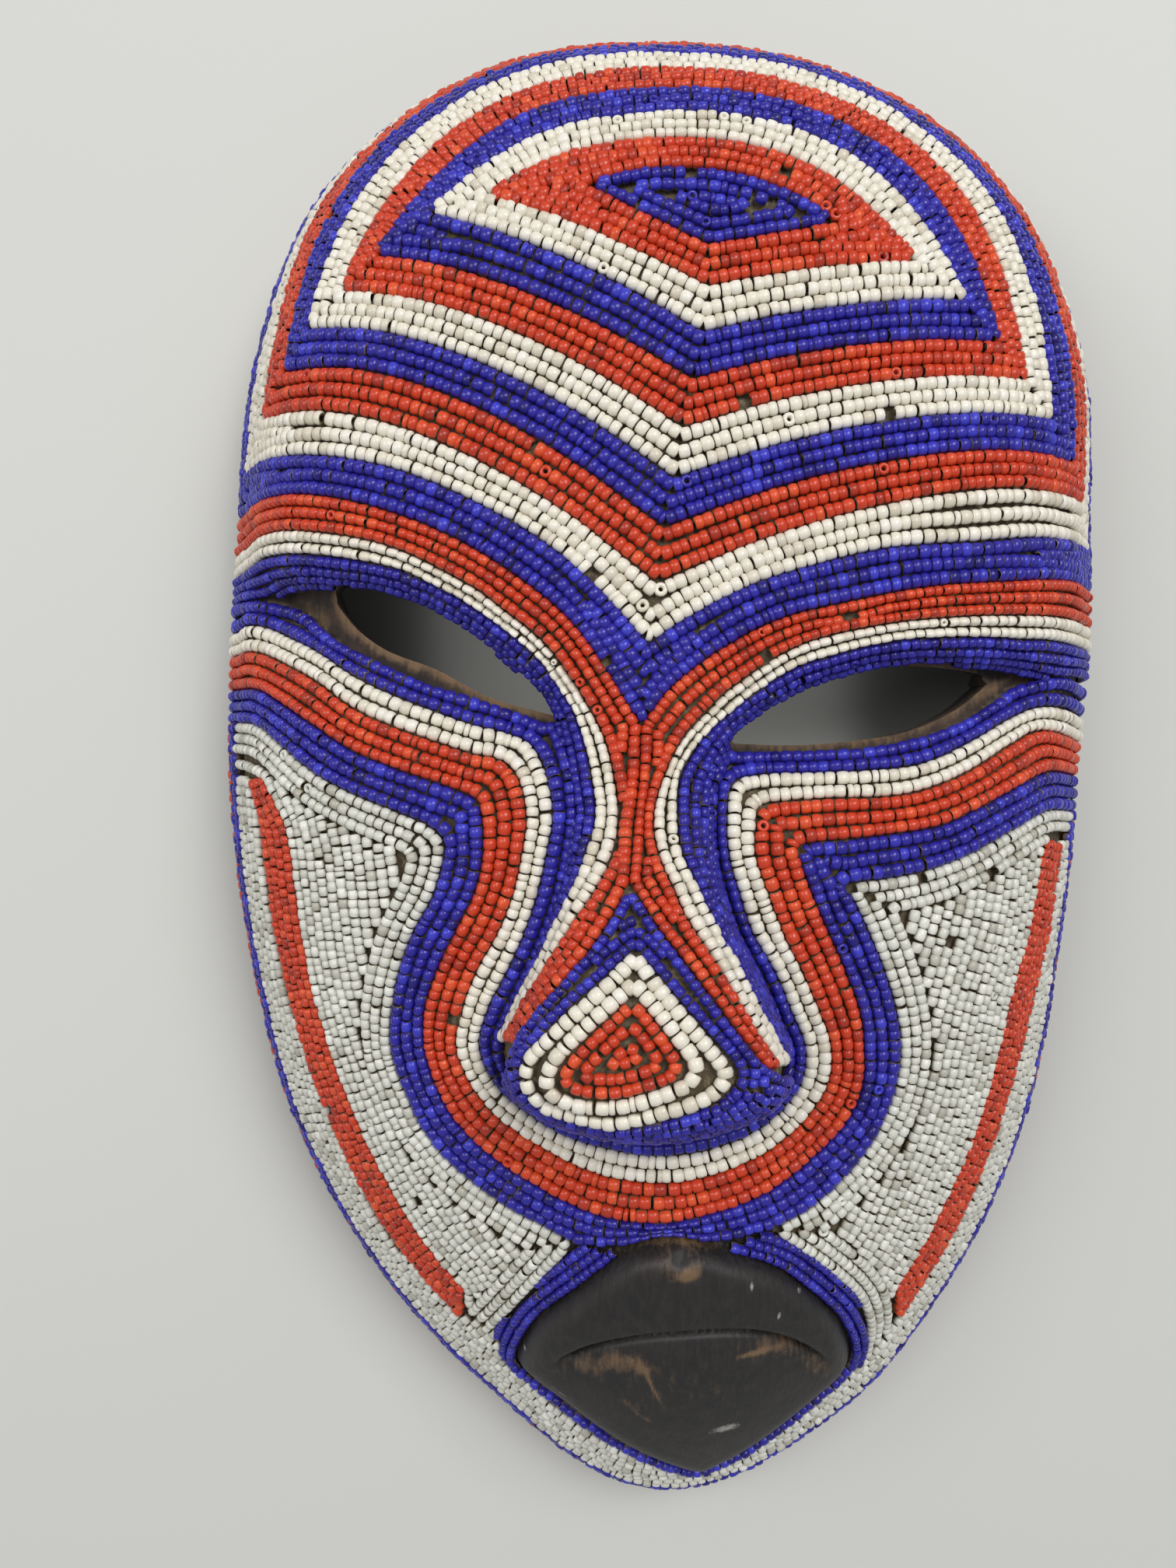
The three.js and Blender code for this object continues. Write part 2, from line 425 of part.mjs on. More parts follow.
// A length of beads between two courses, as one closed skin
class Band {
  constructor(name, colour, closed) {
    this.name = name;
    this.colour = colour;
    this.closed = closed;
  }

  // Both courses run the same way; more lanes follow a surface that curves between them. Round a
  // closed band they lie straight across from its first course, in an open one at even steps.
  between(near, far, lanes) {
    this.rails = [near];
    const pieces = Math.max(near.length, far.length) - 1;
    const a = this.closed ? near : cut(near, pieces);
    const b = this.closed ? near.map((p) => nearestOn(far, p)) : cut(far, pieces);
    for (let k = 1; k < lanes; k += 1) {
      this.rails.push(a.map((p, i) => mix(p, b[i], k / lanes)));
    }
    this.rails.push(far);
    if (this.closed) this.rails = this.rails.map((rail) => rail.slice(0, -1));
    return this;
  }

  // Pulls an edge rail a seam's width toward the rail across from it
  inset(rail, across) {
    const left = leftward(rail, this.closed);
    const votes = rail.map((p, i) => {
      const near = across.reduce((a, b) => (gap(p, a) < gap(p, b) ? a : b));
      return Math.sign((near[0] - p[0]) * left[i][0] + (near[1] - p[1]) * left[i][1]);
    });
    const turn = Math.sign(votes.reduce((a, b) => a + b));
    return rail.map((p, i) => {
      const width = Math.min(SEAM, 0.3 * distanceTo(across, ...p, this.closed)) * turn;
      return [p[0] + left[i][0] * width, p[1] + left[i][1] * width];
    });
  }

  mesh() {
    const last = this.rails.length - 1;
    const placed = this.rails.map((rail, r) => {
      if (r > 0 && r < last) return rail.slice();
      return this.inset(rail, this.rails[r ? last - 1 : 1]);
    });
    const points = [];
    const rows = placed.map((rail, r) => rail.map((p, i) => {
      const n = rail.length - 1;
      const next = i === 0 ? 1 : n - 1;
      const isEnd = !this.closed && (i === 0 || i === n);
      const q = isEnd ? mix(p, rail[next], Math.min(0.3, SEAM / gap(p, rail[next]))) : p;
      const [base, normal] = [lift(...q), normalAt(...this.rails[r][i])];
      points.push(base.clone().addScaledVector(normal, BEAD_TOP));
      points.push(base.clone().addScaledVector(normal, GLUE_GAP));
      return points.length - 2;
    }));
    const faces = [];
    for (let r = 0; r < last; r += 1) this.zip(rows[r], rows[r + 1], points, faces);
    edgeWall(rows[0], faces, true, this.closed);
    edgeWall(rows[last], faces, false, this.closed);
    if (!this.closed) {
      edgeWall(rows.map((row) => row[0]), faces, false, false);
      edgeWall(rows.map((row) => row[row.length - 1]), faces, true, false);
    }
    return closedMesh(this.name, this.colour, points, faces);
  }

  // Triangles between two rows of corners, on top and underneath, by the shorter way across
  zip(near, far, points, faces) {
    const wrap = this.closed ? 0 : 1;
    const [m, n] = [near.length - wrap, far.length - wrap];
    let [i, j] = [0, 0];
    while (i < m || j < n) {
      const [a, b] = [near[i % near.length], far[j % far.length]];
      const [nextA, nextB] = [near[(i + 1) % near.length], far[(j + 1) % far.length]];
      const isShorter = points[nextA].distanceTo(points[b]) <= points[a].distanceTo(points[nextB]);
      const onNear = j >= n || (i < m && isShorter);
      const c = onNear ? nextA : nextB;
      faces.push([a, c, b], [a + 1, b + 1, c + 1]);
      if (onNear) i += 1;
      else j += 1;
    }
  }
}

// The narrow wall along an edge of a skin, from its top corners to the ones right underneath
function edgeWall(row, faces, flip, closed) {
  for (let i = 0; i < row.length - (closed ? 0 : 1); i += 1) {
    const [a, b] = [row[i], row[(i + 1) % row.length]];
    for (const [p, q, r] of [[a, b, b + 1], [a, b + 1, a + 1]]) {
      faces.push(flip ? [p, r, q] : [p, q, r]);
    }
  }
}

function makeMesh(name, geometry, colour, roughness) {
  const material = new THREE.MeshStandardMaterial({ color: colour, roughness, metalness: 0 });
  const mesh = new THREE.Mesh(geometry, material);
  mesh.name = name;
  return mesh;
}

// A closed mesh from corners and triangles, turned outward
function closedMesh(name, colour, points, faces) {
  const geometry = new THREE.BufferGeometry();
  const places = points.flatMap((p) => [p.x, p.y, p.z]);
  geometry.setAttribute('position', new THREE.Float32BufferAttribute(places, 3));
  const cross = new THREE.Vector3();
  const volume = faces.reduce((sum, [a, b, c]) => (
    sum + points[a].dot(cross.crossVectors(points[b], points[c]))), 0);
  geometry.setIndex(faces.flatMap(([a, b, c]) => (volume > 0 ? [a, b, c] : [a, c, b])));
  return makeMesh(name, geometry, colour, ROUGHNESS.glass);
}

// A field of beads that fills one closed course
function field(name, colour, loop) {
  const edge = loop.slice(0, -1);
  const shape = edge.map(([x, y]) => new THREE.Vector2(x, y));
  const turn = THREE.ShapeUtils.area(shape) > 0 ? 1 : -1;
  const left = leftward(edge, true);
  const points = edge.flatMap(([x, y], i) => {
    const base = lift(x + left[i][0] * SEAM * turn, y + left[i][1] * SEAM * turn);
    const normal = normalAt(x, y);
    return [BEAD_TOP, GLUE_GAP].map((height) => base.clone().addScaledVector(normal, height));
  });
  const faces = [];
  for (const [a, b, c] of THREE.ShapeUtils.triangulateShape(shape, [])) {
    faces.push([2 * a, 2 * b, 2 * c], [2 * a + 1, 2 * c + 1, 2 * b + 1]);
  }
  edgeWall(edge.map((p, i) => 2 * i), faces, turn > 0, true);
  return closedMesh(name, colour, points, faces);
}

const bands = [];

function addBand(name, near, far, { lanes = 1, closed = false } = {}) {
  const colour = COLOUR[name.split('_')[0]];
  bands.push(new Band(name, colour, closed).between(near, far, lanes).mesh());
}

// Part of a ring round the crown, at shares of the outline or on the side wall beyond it
function crownArc(left, right, quarters, beyond, pace) {
  const ends = [left, right].map((p) => polar(...p));
  const shares = quarters || [1, 1, 1];
  const outer = ends.map(({ angle, distance }) => (quarters ? distance / rimRadius(angle) : 1));
  const marks = [outer[0], ...shares, outer[1]];
  const points = [];
  for (let i = 0; i <= ARC_STEPS; i += 1) {
    const place = i / ARC_STEPS * (marks.length - 1);
    const k = Math.min(marks.length - 2, Math.floor(place));
    const around = [-1, 0, 1, 2].map((d) => marks[Math.min(4, Math.max(0, k + d))]);
    const angle = ends[0].angle + (ends[1].angle - ends[0].angle) * i / ARC_STEPS;
    points.push(onRim(angle, cubic(...around, place - k), beyond));
  }
  return stretch(points, pace);
}

function arm(from, to, arch, pace) {
  const points = [0, 0.25, 0.5, 0.75, 1].map((t) => {
    const [x, y] = mix(from, to, t);
    return [x, y + arch * 4 * t * (1 - t)];
  });
  return stretch(points, pace);
}

function makeForehead() {
  const lines = RINGS.map(({ left, right, point, arc }, k) => {
    const pace = k < 2 ? PACE.small : PACE.ring;
    return join(crownArc(left, right, arc, 0, pace), arm(right, point, ARM_ARCH.right * k, pace),
      arm(point, left, ARM_ARCH.left * k, pace));
  });
  const [left, right] = [start(WHITE_BROW_LEFT), end(WHITE_BROW_RIGHT)];
  lines.push(join(crownArc(left, right, null, 0, PACE.ring),
    reversed(stretch(WHITE_BROW_RIGHT, PACE.brow)), reversed(stretch(WHITE_BROW_LEFT, PACE.brow))));
  lines.push(join(crownArc(CORNER.blueLeft, CORNER.blueRight, null, DROP.blue, PACE.edge),
    reversed(stretch([...BLUE_BROW_RIGHT, CORNER.blueRight], PACE.brow)),
    reversed(stretch([CORNER.blueLeft, ...BLUE_BROW_LEFT], PACE.brow))));
  bands.push(field('blue_lens', COLOUR.blue, lines[0]));
  const names = ['red_ring_1', 'white_ring_1', 'blue_ring_1', 'red_ring_2', 'white_ring_2',
    'blue_ring_2', 'red_ring_3', 'white_ring_3', 'blue_ring_3'];
  names.forEach((name, k) => addBand(name, lines[k + 1], lines[k], { closed: true }));
}

// The two bands on the side wall round the crown
function makeCrownEdge() {
  const arcs = ['blue', 'red', 'white'].map((colour) => crownArc(
    CORNER[`${colour}Left`], CORNER[`${colour}Right`], null, DROP[colour], PACE.edge));
  addBand('red_crown_edge', arcs[0], arcs[1]);
  addBand('white_crown_edge', arcs[1], arcs[2]);
}

// How a band runs down the side wall from its end at the edge, as far as the lowest beads
function sideRun(point) {
  const reach = beyondFor(polar(...point).angle, LOWEST_BEADS);
  return stretch([downSide(point, reach), downSide(point, SHOULDER.turn), point], PACE.cheek);
}

function makeBrows() {
  const { brow } = PACE;
  const left = [
    join(stretch([CORNER.blueLeft, ...BLUE_BROW_LEFT], brow), stretch(NOSE_RIDGE, brow),
      stretch(NOSE_BLUE_LEFT, PACE.nose)),
    stretch([CORNER.redLeft, ...RED_BROW_LEFT], brow),
    stretch([CORNER.whiteLeft, ...WHITE_EYE_LEFT], brow),
    join(sideRun(start(FOOT_BROW_LEFT)), stretch(FOOT_BROW_LEFT, brow),
      stretch(FOOT_NOSE_LEFT, brow)),
  ];
  const right = [
    join(stretch([CORNER.blueRight, ...reversed(BLUE_BROW_RIGHT)], brow),
      stretch(NOSE_RIDGE, brow), stretch(NOSE_BLUE_RIGHT, PACE.nose)),
    stretch([CORNER.redRight, ...RED_BROW_RIGHT], brow),
    stretch([CORNER.whiteRight, ...WHITE_EYE_RIGHT], brow),
    join(sideRun(end(FOOT_BROW_RIGHT)), stretch(reversed(FOOT_BROW_RIGHT), brow),
      stretch(reversed(FOOT_NOSE_RIGHT), brow)),
  ];
  for (const [side, [ridge, red, white, wall]] of Object.entries({ left, right })) {
    addBand(`red_brow_${side}`, ridge, red);
    addBand(`white_brow_${side}`, red, white);
    addBand(`blue_brow_${side}`, white, wall, { lanes: 2 });
  }
}

function acrossFace(...stretches) {
  const [left, right] = [start(stretches[0]), end(end(stretches))];
  return join(sideRun(left), ...stretches, reversed(sideRun(right)));
}

function makeCheekBands() {
  const { brow, cheek } = PACE;
  const lid = acrossFace(stretch([start(FOOT_BROW_LEFT), ...LID_LEFT, start(FOOT_NOSE_LEFT)], cheek),
    stretch(FOOT_NOSE_LEFT, brow), stretch(FOOT_NOSE_BOTTOM, PACE.nose),
    stretch(FOOT_NOSE_RIGHT, brow),
    stretch([end(FOOT_NOSE_RIGHT), ...LID_RIGHT, end(FOOT_BROW_RIGHT)], cheek));
  const lines = [BLUE_CHEEK, WHITE_CHEEK, RED_CHEEK].map((line) => (
    acrossFace(stretch(line, cheek))));
  const jaw = acrossFace(stretch(BLUE_JAW_LEFT, cheek), stretch(BLUE_JAW_MIDDLE, cheek),
    stretch(BLUE_JAW_RIGHT, cheek));
  addBand('blue_cheek_band', lid, lines[0]);
  addBand('white_cheek_band', lines[0], lines[1]);
  addBand('red_cheek_band', lines[1], lines[2]);
  addBand('blue_jaw_band', lines[2], jaw);
}

function makeCheekFields() {
  const { cheek, fill } = PACE;
  const left = {
    jaw: join(stretch(BLUE_JAW_LEFT, cheek), stretch(MOUTH_BAND_LEFT, fill)),
    out: join(stretch([...CHEEK_TOP_LEFT, start(STRIPE_LEFT_IN)], fill),
      stretch(STRIPE_LEFT_IN, fill), stretch([end(STRIPE_LEFT_IN), ...CHEEK_END_LEFT], fill)),
    stripe: [STRIPE_LEFT_IN, STRIPE_LEFT_OUT],
  };
  const right = {
    jaw: join(stretch(reversed(BLUE_JAW_RIGHT), cheek), stretch(MOUTH_BAND_RIGHT, fill)),
    out: join(stretch([...CHEEK_TOP_RIGHT, start(STRIPE_RIGHT_IN)], fill),
      stretch(STRIPE_RIGHT_IN, fill), stretch([end(STRIPE_RIGHT_IN), ...CHEEK_END_RIGHT], fill)),
    stripe: [STRIPE_RIGHT_IN, STRIPE_RIGHT_OUT],
  };
  for (const [side, { jaw, out, stripe }] of Object.entries({ left, right })) {
    addBand(`grey_cheek_${side}`, jaw, out, { lanes: 3 });
    addBand(`red_stripe_${side}`, stretch(stripe[0], fill), stretch(stripe[1], fill));
  }
}

function makeMouthBand() {
  const left = mix(MOUTH[2], MOUTH[3], MOUTH_BAND_ENDS.left);
  const right = mix(MOUTH[7], MOUTH[6], MOUTH_BAND_ENDS.right);
  const wood = [left, ...reversed(MOUTH.slice(0, 3)), ...reversed(MOUTH.slice(7)), right];
  const outer = join(stretch(MOUTH_BAND_LEFT, PACE.fill), stretch(MOUTH_BAND_UNDER, PACE.nose),
    reversed(stretch(MOUTH_BAND_RIGHT, PACE.fill)));
  addBand('blue_mouth_band', stretch(wood, PACE.nose), outer);
}

// The edge below the cheeks: white up to it, then blue and red on the side wall
function makeLowerEdge() {
  const sweep = (left, right, beyond) => {
    const [from, to] = [polar(...left).angle, polar(...right).angle];
    const first = from > 0 ? from - 2 * Math.PI : from;
    const points = Array.from({ length: SWEEP_STEPS + 1 }, (_, i) => (
      onRim(first + (to - first) * i / SWEEP_STEPS, 1, beyond)));
    return stretch(points, PACE.chin);
  };
  const { fill } = PACE;
  const inner = join(stretch(STRIPE_LEFT_OUT, fill),
    stretch([end(STRIPE_LEFT_OUT), start(MOUTH_BAND_UNDER)], fill),
    stretch(MOUTH_BAND_UNDER, PACE.nose),
    stretch([end(MOUTH_BAND_UNDER), end(STRIPE_RIGHT_OUT)], fill),
    reversed(stretch(STRIPE_RIGHT_OUT, fill)));
  addBand('white_edge', inner, sweep(WHITE_EDGE_LEFT, WHITE_EDGE_RIGHT, 0));
  const [left, right] = [start(BLUE_JAW_LEFT), end(BLUE_JAW_RIGHT)];
  const [top, middle, low] = [0, 2 * BEAD, 5 * BEAD].map((beyond) => sweep(left, right, beyond));
  addBand('blue_edge', top, middle);
  addBand('red_edge', middle, low);
}

function makeNose() {
  const { nose, climb } = PACE;
  const [left, right] = [end(NOSE_BLUE_LEFT), end(NOSE_BLUE_RIGHT)];
  const outer = join(stretch(NOSE_BLUE_LEFT, nose), stretch([left, start(FOOT_NOSE_BOTTOM)], climb),
    stretch(FOOT_NOSE_BOTTOM, nose), stretch([end(FOOT_NOSE_BOTTOM), right], climb),
    reversed(stretch(NOSE_BLUE_RIGHT, nose)));
  const white = stretch([...NOSE_WHITE, start(NOSE_WHITE)], nose);
  const red = stretch([...NOSE_RED, start(NOSE_RED)], nose);
  addBand('blue_nose_band', outer, white, { lanes: 3, closed: true });
  addBand('white_nose_band', white, red, { closed: true });
  bands.push(field('red_nose_field', COLOUR.red, red));
}

makeForehead();
makeCrownEdge();
makeBrows();
makeCheekBands();
makeCheekFields();
makeMouthBand();
makeLowerEdge();
makeNose();

// The corners of the carving's outer surface, in the plane of the pattern
class Corners {
  constructor() {
    this.points = [];
  }

  add(point, clearance) {
    if (this.points.every((p) => gap(p, point) > clearance)) this.points.push(point);
  }

  // A fold of the carving: corners along it and along lines beside it
  addFold(line, { pace, offsets, closed = false, clearance = FOLD_CLEARANCE }) {
    const along = cut(line, Math.round(lengthOf(line) / pace));
    if (closed) along.pop();
    const left = leftward(along, closed);
    for (const offset of [0, ...offsets]) {
      along.forEach(([x, y], i) => {
        const point = [x + left[i][0] * offset, y + left[i][1] * offset];
        const away = distanceTo(line, ...point, closed);
        if (away >= 0.9 * Math.abs(offset)) this.add(point, clearance);
      });
    }
  }

  // Evenly spread corners where there are none yet
  addSpread({ pace, width, height, clearance }) {
    for (let row = 0, y = -height; y <= height; y += pace * Math.sqrt(0.75), row += 1) {
      for (let x = -width + (row % 2) * pace / 2; x <= width; x += pace) {
        const { angle, distance } = polar(x, y);
        if (distance < rimRadius(angle) - pace / 2) this.add([x, y], clearance * pace);
      }
    }
  }
}

// Triangles between corners in the plane, none with a corner inside its circle
function triangulate(points) {
  const far = OUTER_TRIANGLE;
  const plane = [...points, [-far, -far], [far, -far], [0, far]];
  const circle = (corners) => {
    const [a, b, c] = corners.map((i) => plane[i]);
    const [bx, by, cx, cy] = [b[0] - a[0], b[1] - a[1], c[0] - a[0], c[1] - a[1]];
    const twice = 2 * (bx * cy - by * cx);
    const x = (cy * (bx * bx + by * by) - by * (cx * cx + cy * cy)) / twice;
    const y = (bx * (cx * cx + cy * cy) - cx * (bx * bx + by * by)) / twice;
    return { corners, x: a[0] + x, y: a[1] + y, reach: x * x + y * y };
  };
  const count = points.length;
  let triangles = [circle([count, count + 1, count + 2])];
  points.forEach(([px, py], i) => {
    const isHit = ({ x, y, reach }) => (px - x) ** 2 + (py - y) ** 2 < reach;
    const edges = new Map();
    for (const { corners: [a, b, c] } of triangles.filter(isHit)) {
      for (const [p, q] of [[a, b], [b, c], [c, a]]) {
        if (!edges.delete(`${q},${p}`)) edges.set(`${p},${q}`, [p, q]);
      }
    }
    triangles = triangles.filter((triangle) => !isHit(triangle));
    for (const [p, q] of edges.values()) triangles.push(circle([p, q, i]));
  });
  return triangles.map(({ corners }) => corners).filter((corners) => corners.every((i) => i < count));
}

const ANGLES = Array.from({ length: HOLLOW.sides }, (_, i) => i / HOLLOW.sides * 2 * Math.PI);

// A corner of the hollow's roof, which keeps below the vault all the way out to the wall
function roofPoint(angle, share) {
  const reach = (rimRadius(angle) - WOOD_WALL + WALL_LEAN) * share;
  const [x, y] = [MIDDLE[0] + Math.cos(angle) * reach, MIDDLE[1] + Math.sin(angle) * reach];
  const { height } = vault(...onRim(angle, share));
  return new THREE.Vector3(x, y, height - HOLLOW.roof - socketDepth(x, y, HOLLOW.reach) * HOLLOW.eyes);
}

// The carving without its eye slits: outside, flat rim underneath, hollow inside
function makeCarvingBody() {
  const corners = new Corners();
  for (const angle of ANGLES) corners.add(onRim(angle, 1, beyondFor(angle, 0)), 0);
  for (const beyond of [SHOULDER.turn, SHOULDER.turn / 2, 0]) {
    for (const angle of ANGLES) corners.add(onRim(angle, 1, beyond), 0);
  }
  corners.addFold(footLine, FOLDS.foot);
  corners.addFold(mouthLoop, FOLDS.mouth);
  corners.addFold(creaseLine, FOLDS.crease);
  for (const line of eyes) corners.addFold(line, FOLDS.eye);
  corners.addSpread(SPREAD);
  const isWithin = (triangle) => triangle.some((i) => i >= HOLLOW.sides);
  const faces = triangulate(corners.points).filter(isWithin);
  const points = corners.points.map(([x, y]) => {
    const { angle, distance } = polar(x, y);
    const round = Math.exp(-(((distance / rimRadius(angle) - GLUE.middle) / GLUE.spread) ** 2));
    return lift(x, y).addScaledVector(normalAt(x, y), -GLUE.face - GLUE.shoulder * round);
  });
  for (let i = 0; i < HOLLOW.sides; i += 1) points[i].z = 0;

  const table = ANGLES.map((angle) => roofPoint(angle, 1).setZ(0));
  const rings = [table, ...HOLLOW.shares.map((share) => ANGLES.map((angle) => roofPoint(angle, share)))];
  let outer = 0;
  for (const ring of rings) {
    const inner = points.length;
    points.push(...ring);
    ring.forEach((_, i) => {
      const next = (i + 1) % ring.length;
      faces.push([outer + i, inner + next, outer + next], [outer + i, inner + i, inner + next]);
    });
    outer = inner;
  }
  points.push(roofPoint(0, 0));
  ANGLES.forEach((_, i) => {
    faces.push([points.length - 1, outer + (i + 1) % HOLLOW.sides, outer + i]);
  });
  return closedMesh('wooden_mask', COLOUR.wood, points, faces);
}

// One eye slit as a solid
function makeSlit({ over, under }) {
  const outline = [...over, ...under];
  const wide = outline.map(([x, y], i) => (
    i < over.length ? [x + Math.sign(x) * SLIT.flare, y + SLIT.flare] : [x, y]));
  const levels = [[outline, SLIT.top], [outline, SLIT.bend], [wide, SLIT.bottom]];
  const count = outline.length;
  const points = levels.flatMap(([line, z]) => line.map(([x, y]) => new THREE.Vector3(x, y, z)));
  const faces = [];
  for (let level = 0; level < 2; level += 1) {
    for (let i = 0; i < count; i += 1) {
      const [a, b] = [level * count + i, level * count + (i + 1) % count];
      faces.push([a, a + count, b], [b, a + count, b + count]);
    }
  }
  const shape = outline.map(([x, y]) => new THREE.Vector2(x, y));
  const flip = THREE.ShapeUtils.area(shape) < 0;
  for (const [a, b, c] of THREE.ShapeUtils.triangulateShape(shape, [])) {
    const [p, q] = flip ? [c, b] : [b, c];
    faces.push([a, p, q], [2 * count + a, 2 * count + q, 2 * count + p]);
  }
  return closedMesh('slit', COLOUR.wood, points, faces);
}

async function makeCarving() {
  const wasm = await Module();
  wasm.setup();
  const solid = (mesh) => {
    const { attributes: { position }, index } = mesh.geometry;
    return new wasm.Manifold(new wasm.Mesh({
      numProp: 3, vertProperties: position.array, triVerts: Uint32Array.from(index.array),
    }));
  };
  const slits = [SLIT_LEFT, SLIT_RIGHT].map((slit) => solid(makeSlit(slit)));
  const carved = slits.reduce((body, slit) => body.subtract(slit), solid(makeCarvingBody()));
  const { vertProperties, triVerts } = carved.getMesh();
  const geometry = new THREE.BufferGeometry();
  geometry.setAttribute('position', new THREE.Float32BufferAttribute(vertProperties, 3));
  geometry.setIndex([...triVerts]);
  return makeMesh('wooden_mask', geometry, COLOUR.wood, ROUGHNESS.wood);
}

const mask = new THREE.Group();
mask.add(await makeCarving(), ...bands);

export default mask;
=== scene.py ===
"""A carved wooden face mask covered in glass beads, lying face up on a pale table.

Every length in the pattern and the carving is in millimetres in the plane of the face, as in the
solids; it becomes metres only where a mesh is made. +Y runs to the crown, +Z out of the face.
"""

import logging
import math
from dataclasses import dataclass, field
from enum import Enum
from typing import Iterable, Optional, Sequence

import bmesh
import bpy
import numpy as np
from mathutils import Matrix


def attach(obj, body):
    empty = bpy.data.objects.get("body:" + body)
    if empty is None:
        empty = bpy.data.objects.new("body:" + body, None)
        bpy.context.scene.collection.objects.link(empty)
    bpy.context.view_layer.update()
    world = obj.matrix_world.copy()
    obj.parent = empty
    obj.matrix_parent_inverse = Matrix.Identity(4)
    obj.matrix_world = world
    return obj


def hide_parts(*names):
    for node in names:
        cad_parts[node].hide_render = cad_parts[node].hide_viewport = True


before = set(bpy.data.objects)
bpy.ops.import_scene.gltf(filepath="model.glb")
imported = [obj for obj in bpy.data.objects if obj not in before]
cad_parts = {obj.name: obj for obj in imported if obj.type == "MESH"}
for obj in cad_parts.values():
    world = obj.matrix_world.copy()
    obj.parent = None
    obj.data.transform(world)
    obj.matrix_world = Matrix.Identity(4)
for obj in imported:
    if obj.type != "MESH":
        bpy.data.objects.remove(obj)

log = logging.getLogger("mask")
MM = 0.001
TURN = 2 * math.pi
PACE = 1.5  # distance between two points of a course
TINY = 1e-9  # keeps a division by a length of nothing from failing
BATCH = 20000  # points measured at once, so that the memory stays small
Array = np.ndarray
Point = Sequence[float]


@dataclass(frozen=True)
class Ring:
    """A course of the forehead, round the crown and back along a chevron.

    Attributes:
        left: where it meets the left arm of its chevron.
        right: where it meets the right arm.
        point: the chevron's point.
        arc: how far out it lies at the quarters of its way round, as shares of the outline.
    """

    left: Point
    right: Point
    point: Point
    arc: Sequence[float]


# Lines of the carving and of the pattern, in the plane of the face

# Foot of the brows and of the walls of the nose
FOOT_BROW_LEFT = [[-108.5, 46], [-97, 47.3], [-86, 47], [-76.5, 46.7], [-65, 44.8],
                  [-54, 40.3], [-44.5, 34.1], [-36.7, 27.6], [-30, 22.5], [-26.9, 18.3],
                  [-26, 13]]
FOOT_NOSE_LEFT = [[-26, 13], [-23.5, 6.5], [-22, 0], [-21.5, -9], [-22.5, -18.5], [-24.5, -27.5],
                  [-28, -37], [-32, -46], [-36.5, -55], [-39, -63], [-37, -70.5]]
FOOT_NOSE_BOTTOM = [[-37, -70.5], [-31, -75], [-22, -78.5], [-9, -80.5], [3.5, -79.5],
                    [14, -76.5], [21.5, -73], [25.5, -67.5]]
FOOT_NOSE_RIGHT = [[25.5, -67.5], [25.5, -62.5], [22, -55], [18, -46], [13.5, -37], [10, -27.5],
                   [8, -18.5], [7.5, -9], [8, -1], [11.5, 6.5]]
FOOT_BROW_RIGHT = [[11.5, 6.5], [12.7, 9.6], [16.2, 13.5], [22.9, 18.5], [32, 23.1],
                   [44, 26.8], [52.5, 28.2], [61.5, 28.5], [71.5, 27.9], [83, 27], [95, 25.5],
                   [107.5, 25]]

# Eyes: the middle of each socket, the edges of its slit, and where the beads below it begin
EYE_LEFT = [[-91, 41.5], [-80, 38], [-67, 35.5], [-56, 32.5], [-44.5, 27], [-31.5, 16.5]]
EYE_RIGHT = [[78.5, 24.5], [66.5, 20.5], [53.5, 18], [40.5, 15.5], [29.5, 11], [19, 8.5]]
SLIT_LEFT = {
    "over": [[-80.2, 44.9], [-77.5, 46.5], [-65, 44.6], [-54, 40.1], [-44.5, 33.9],
             [-36.7, 27.4], [-30, 22.3], [-27.2, 18]],
    "under": [[-27.5, 14.7], [-40.9, 18.4], [-48.2, 21.7], [-55.7, 25.8], [-67.2, 30.2],
              [-75.3, 35.8], [-80, 41.4]],
}
SLIT_RIGHT = {
    "over": [[76.4, 24.3], [71.4, 25.5], [62.8, 26.4], [52.9, 26.6], [44, 26.5], [32, 22.9],
             [22.9, 18.3], [16.4, 13.2], [13.4, 9.8]],
    "under": [[15, 8.1], [25.5, 7.7], [34.7, 7.9], [45.6, 9], [57.1, 11.1], [69.5, 16.5],
              [78.2, 23]],
}
LID_LEFT = [[-99, 44.6], [-91.5, 42.6], [-87, 39.8], [-82.5, 35.1], [-77, 31], [-66.4, 25.5],
            [-57, 21.2], [-48.3, 18.6], [-37.4, 15.3], [-28.5, 12.3]]
LID_RIGHT = [[14, 5.8], [25.3, 5.6], [34.4, 5.7], [43.2, 6], [52.4, 7.3], [62, 9.8],
             [70.3, 13.2], [79, 18.4], [84.5, 22.2]]

# The raised mouth, from its left corner over the upper lip, and the crease between its lips
MOUTH = [[-38, -149], [-32, -134], [-20.5, -121], [-11.5, -112], [-4.5, -109], [1.5, -108.4],
         [10.5, -110.2], [25.5, -116.5], [36, -126], [43.5, -135.5], [48.5, -148], [47, -155],
         [39.5, -163], [27, -174.5], [17, -182], [9.5, -185.5], [-1, -179.5], [-13.5, -171.5],
         [-27, -161], [-36, -154.5]]
CREASE = [[-29.5, -145], [-24, -140.5], [-17.5, -136], [-7.5, -132.2], [3, -130.7],
          [12.5, -130.5], [22, -132], [30.5, -136], [38, -142], [42, -146.5]]

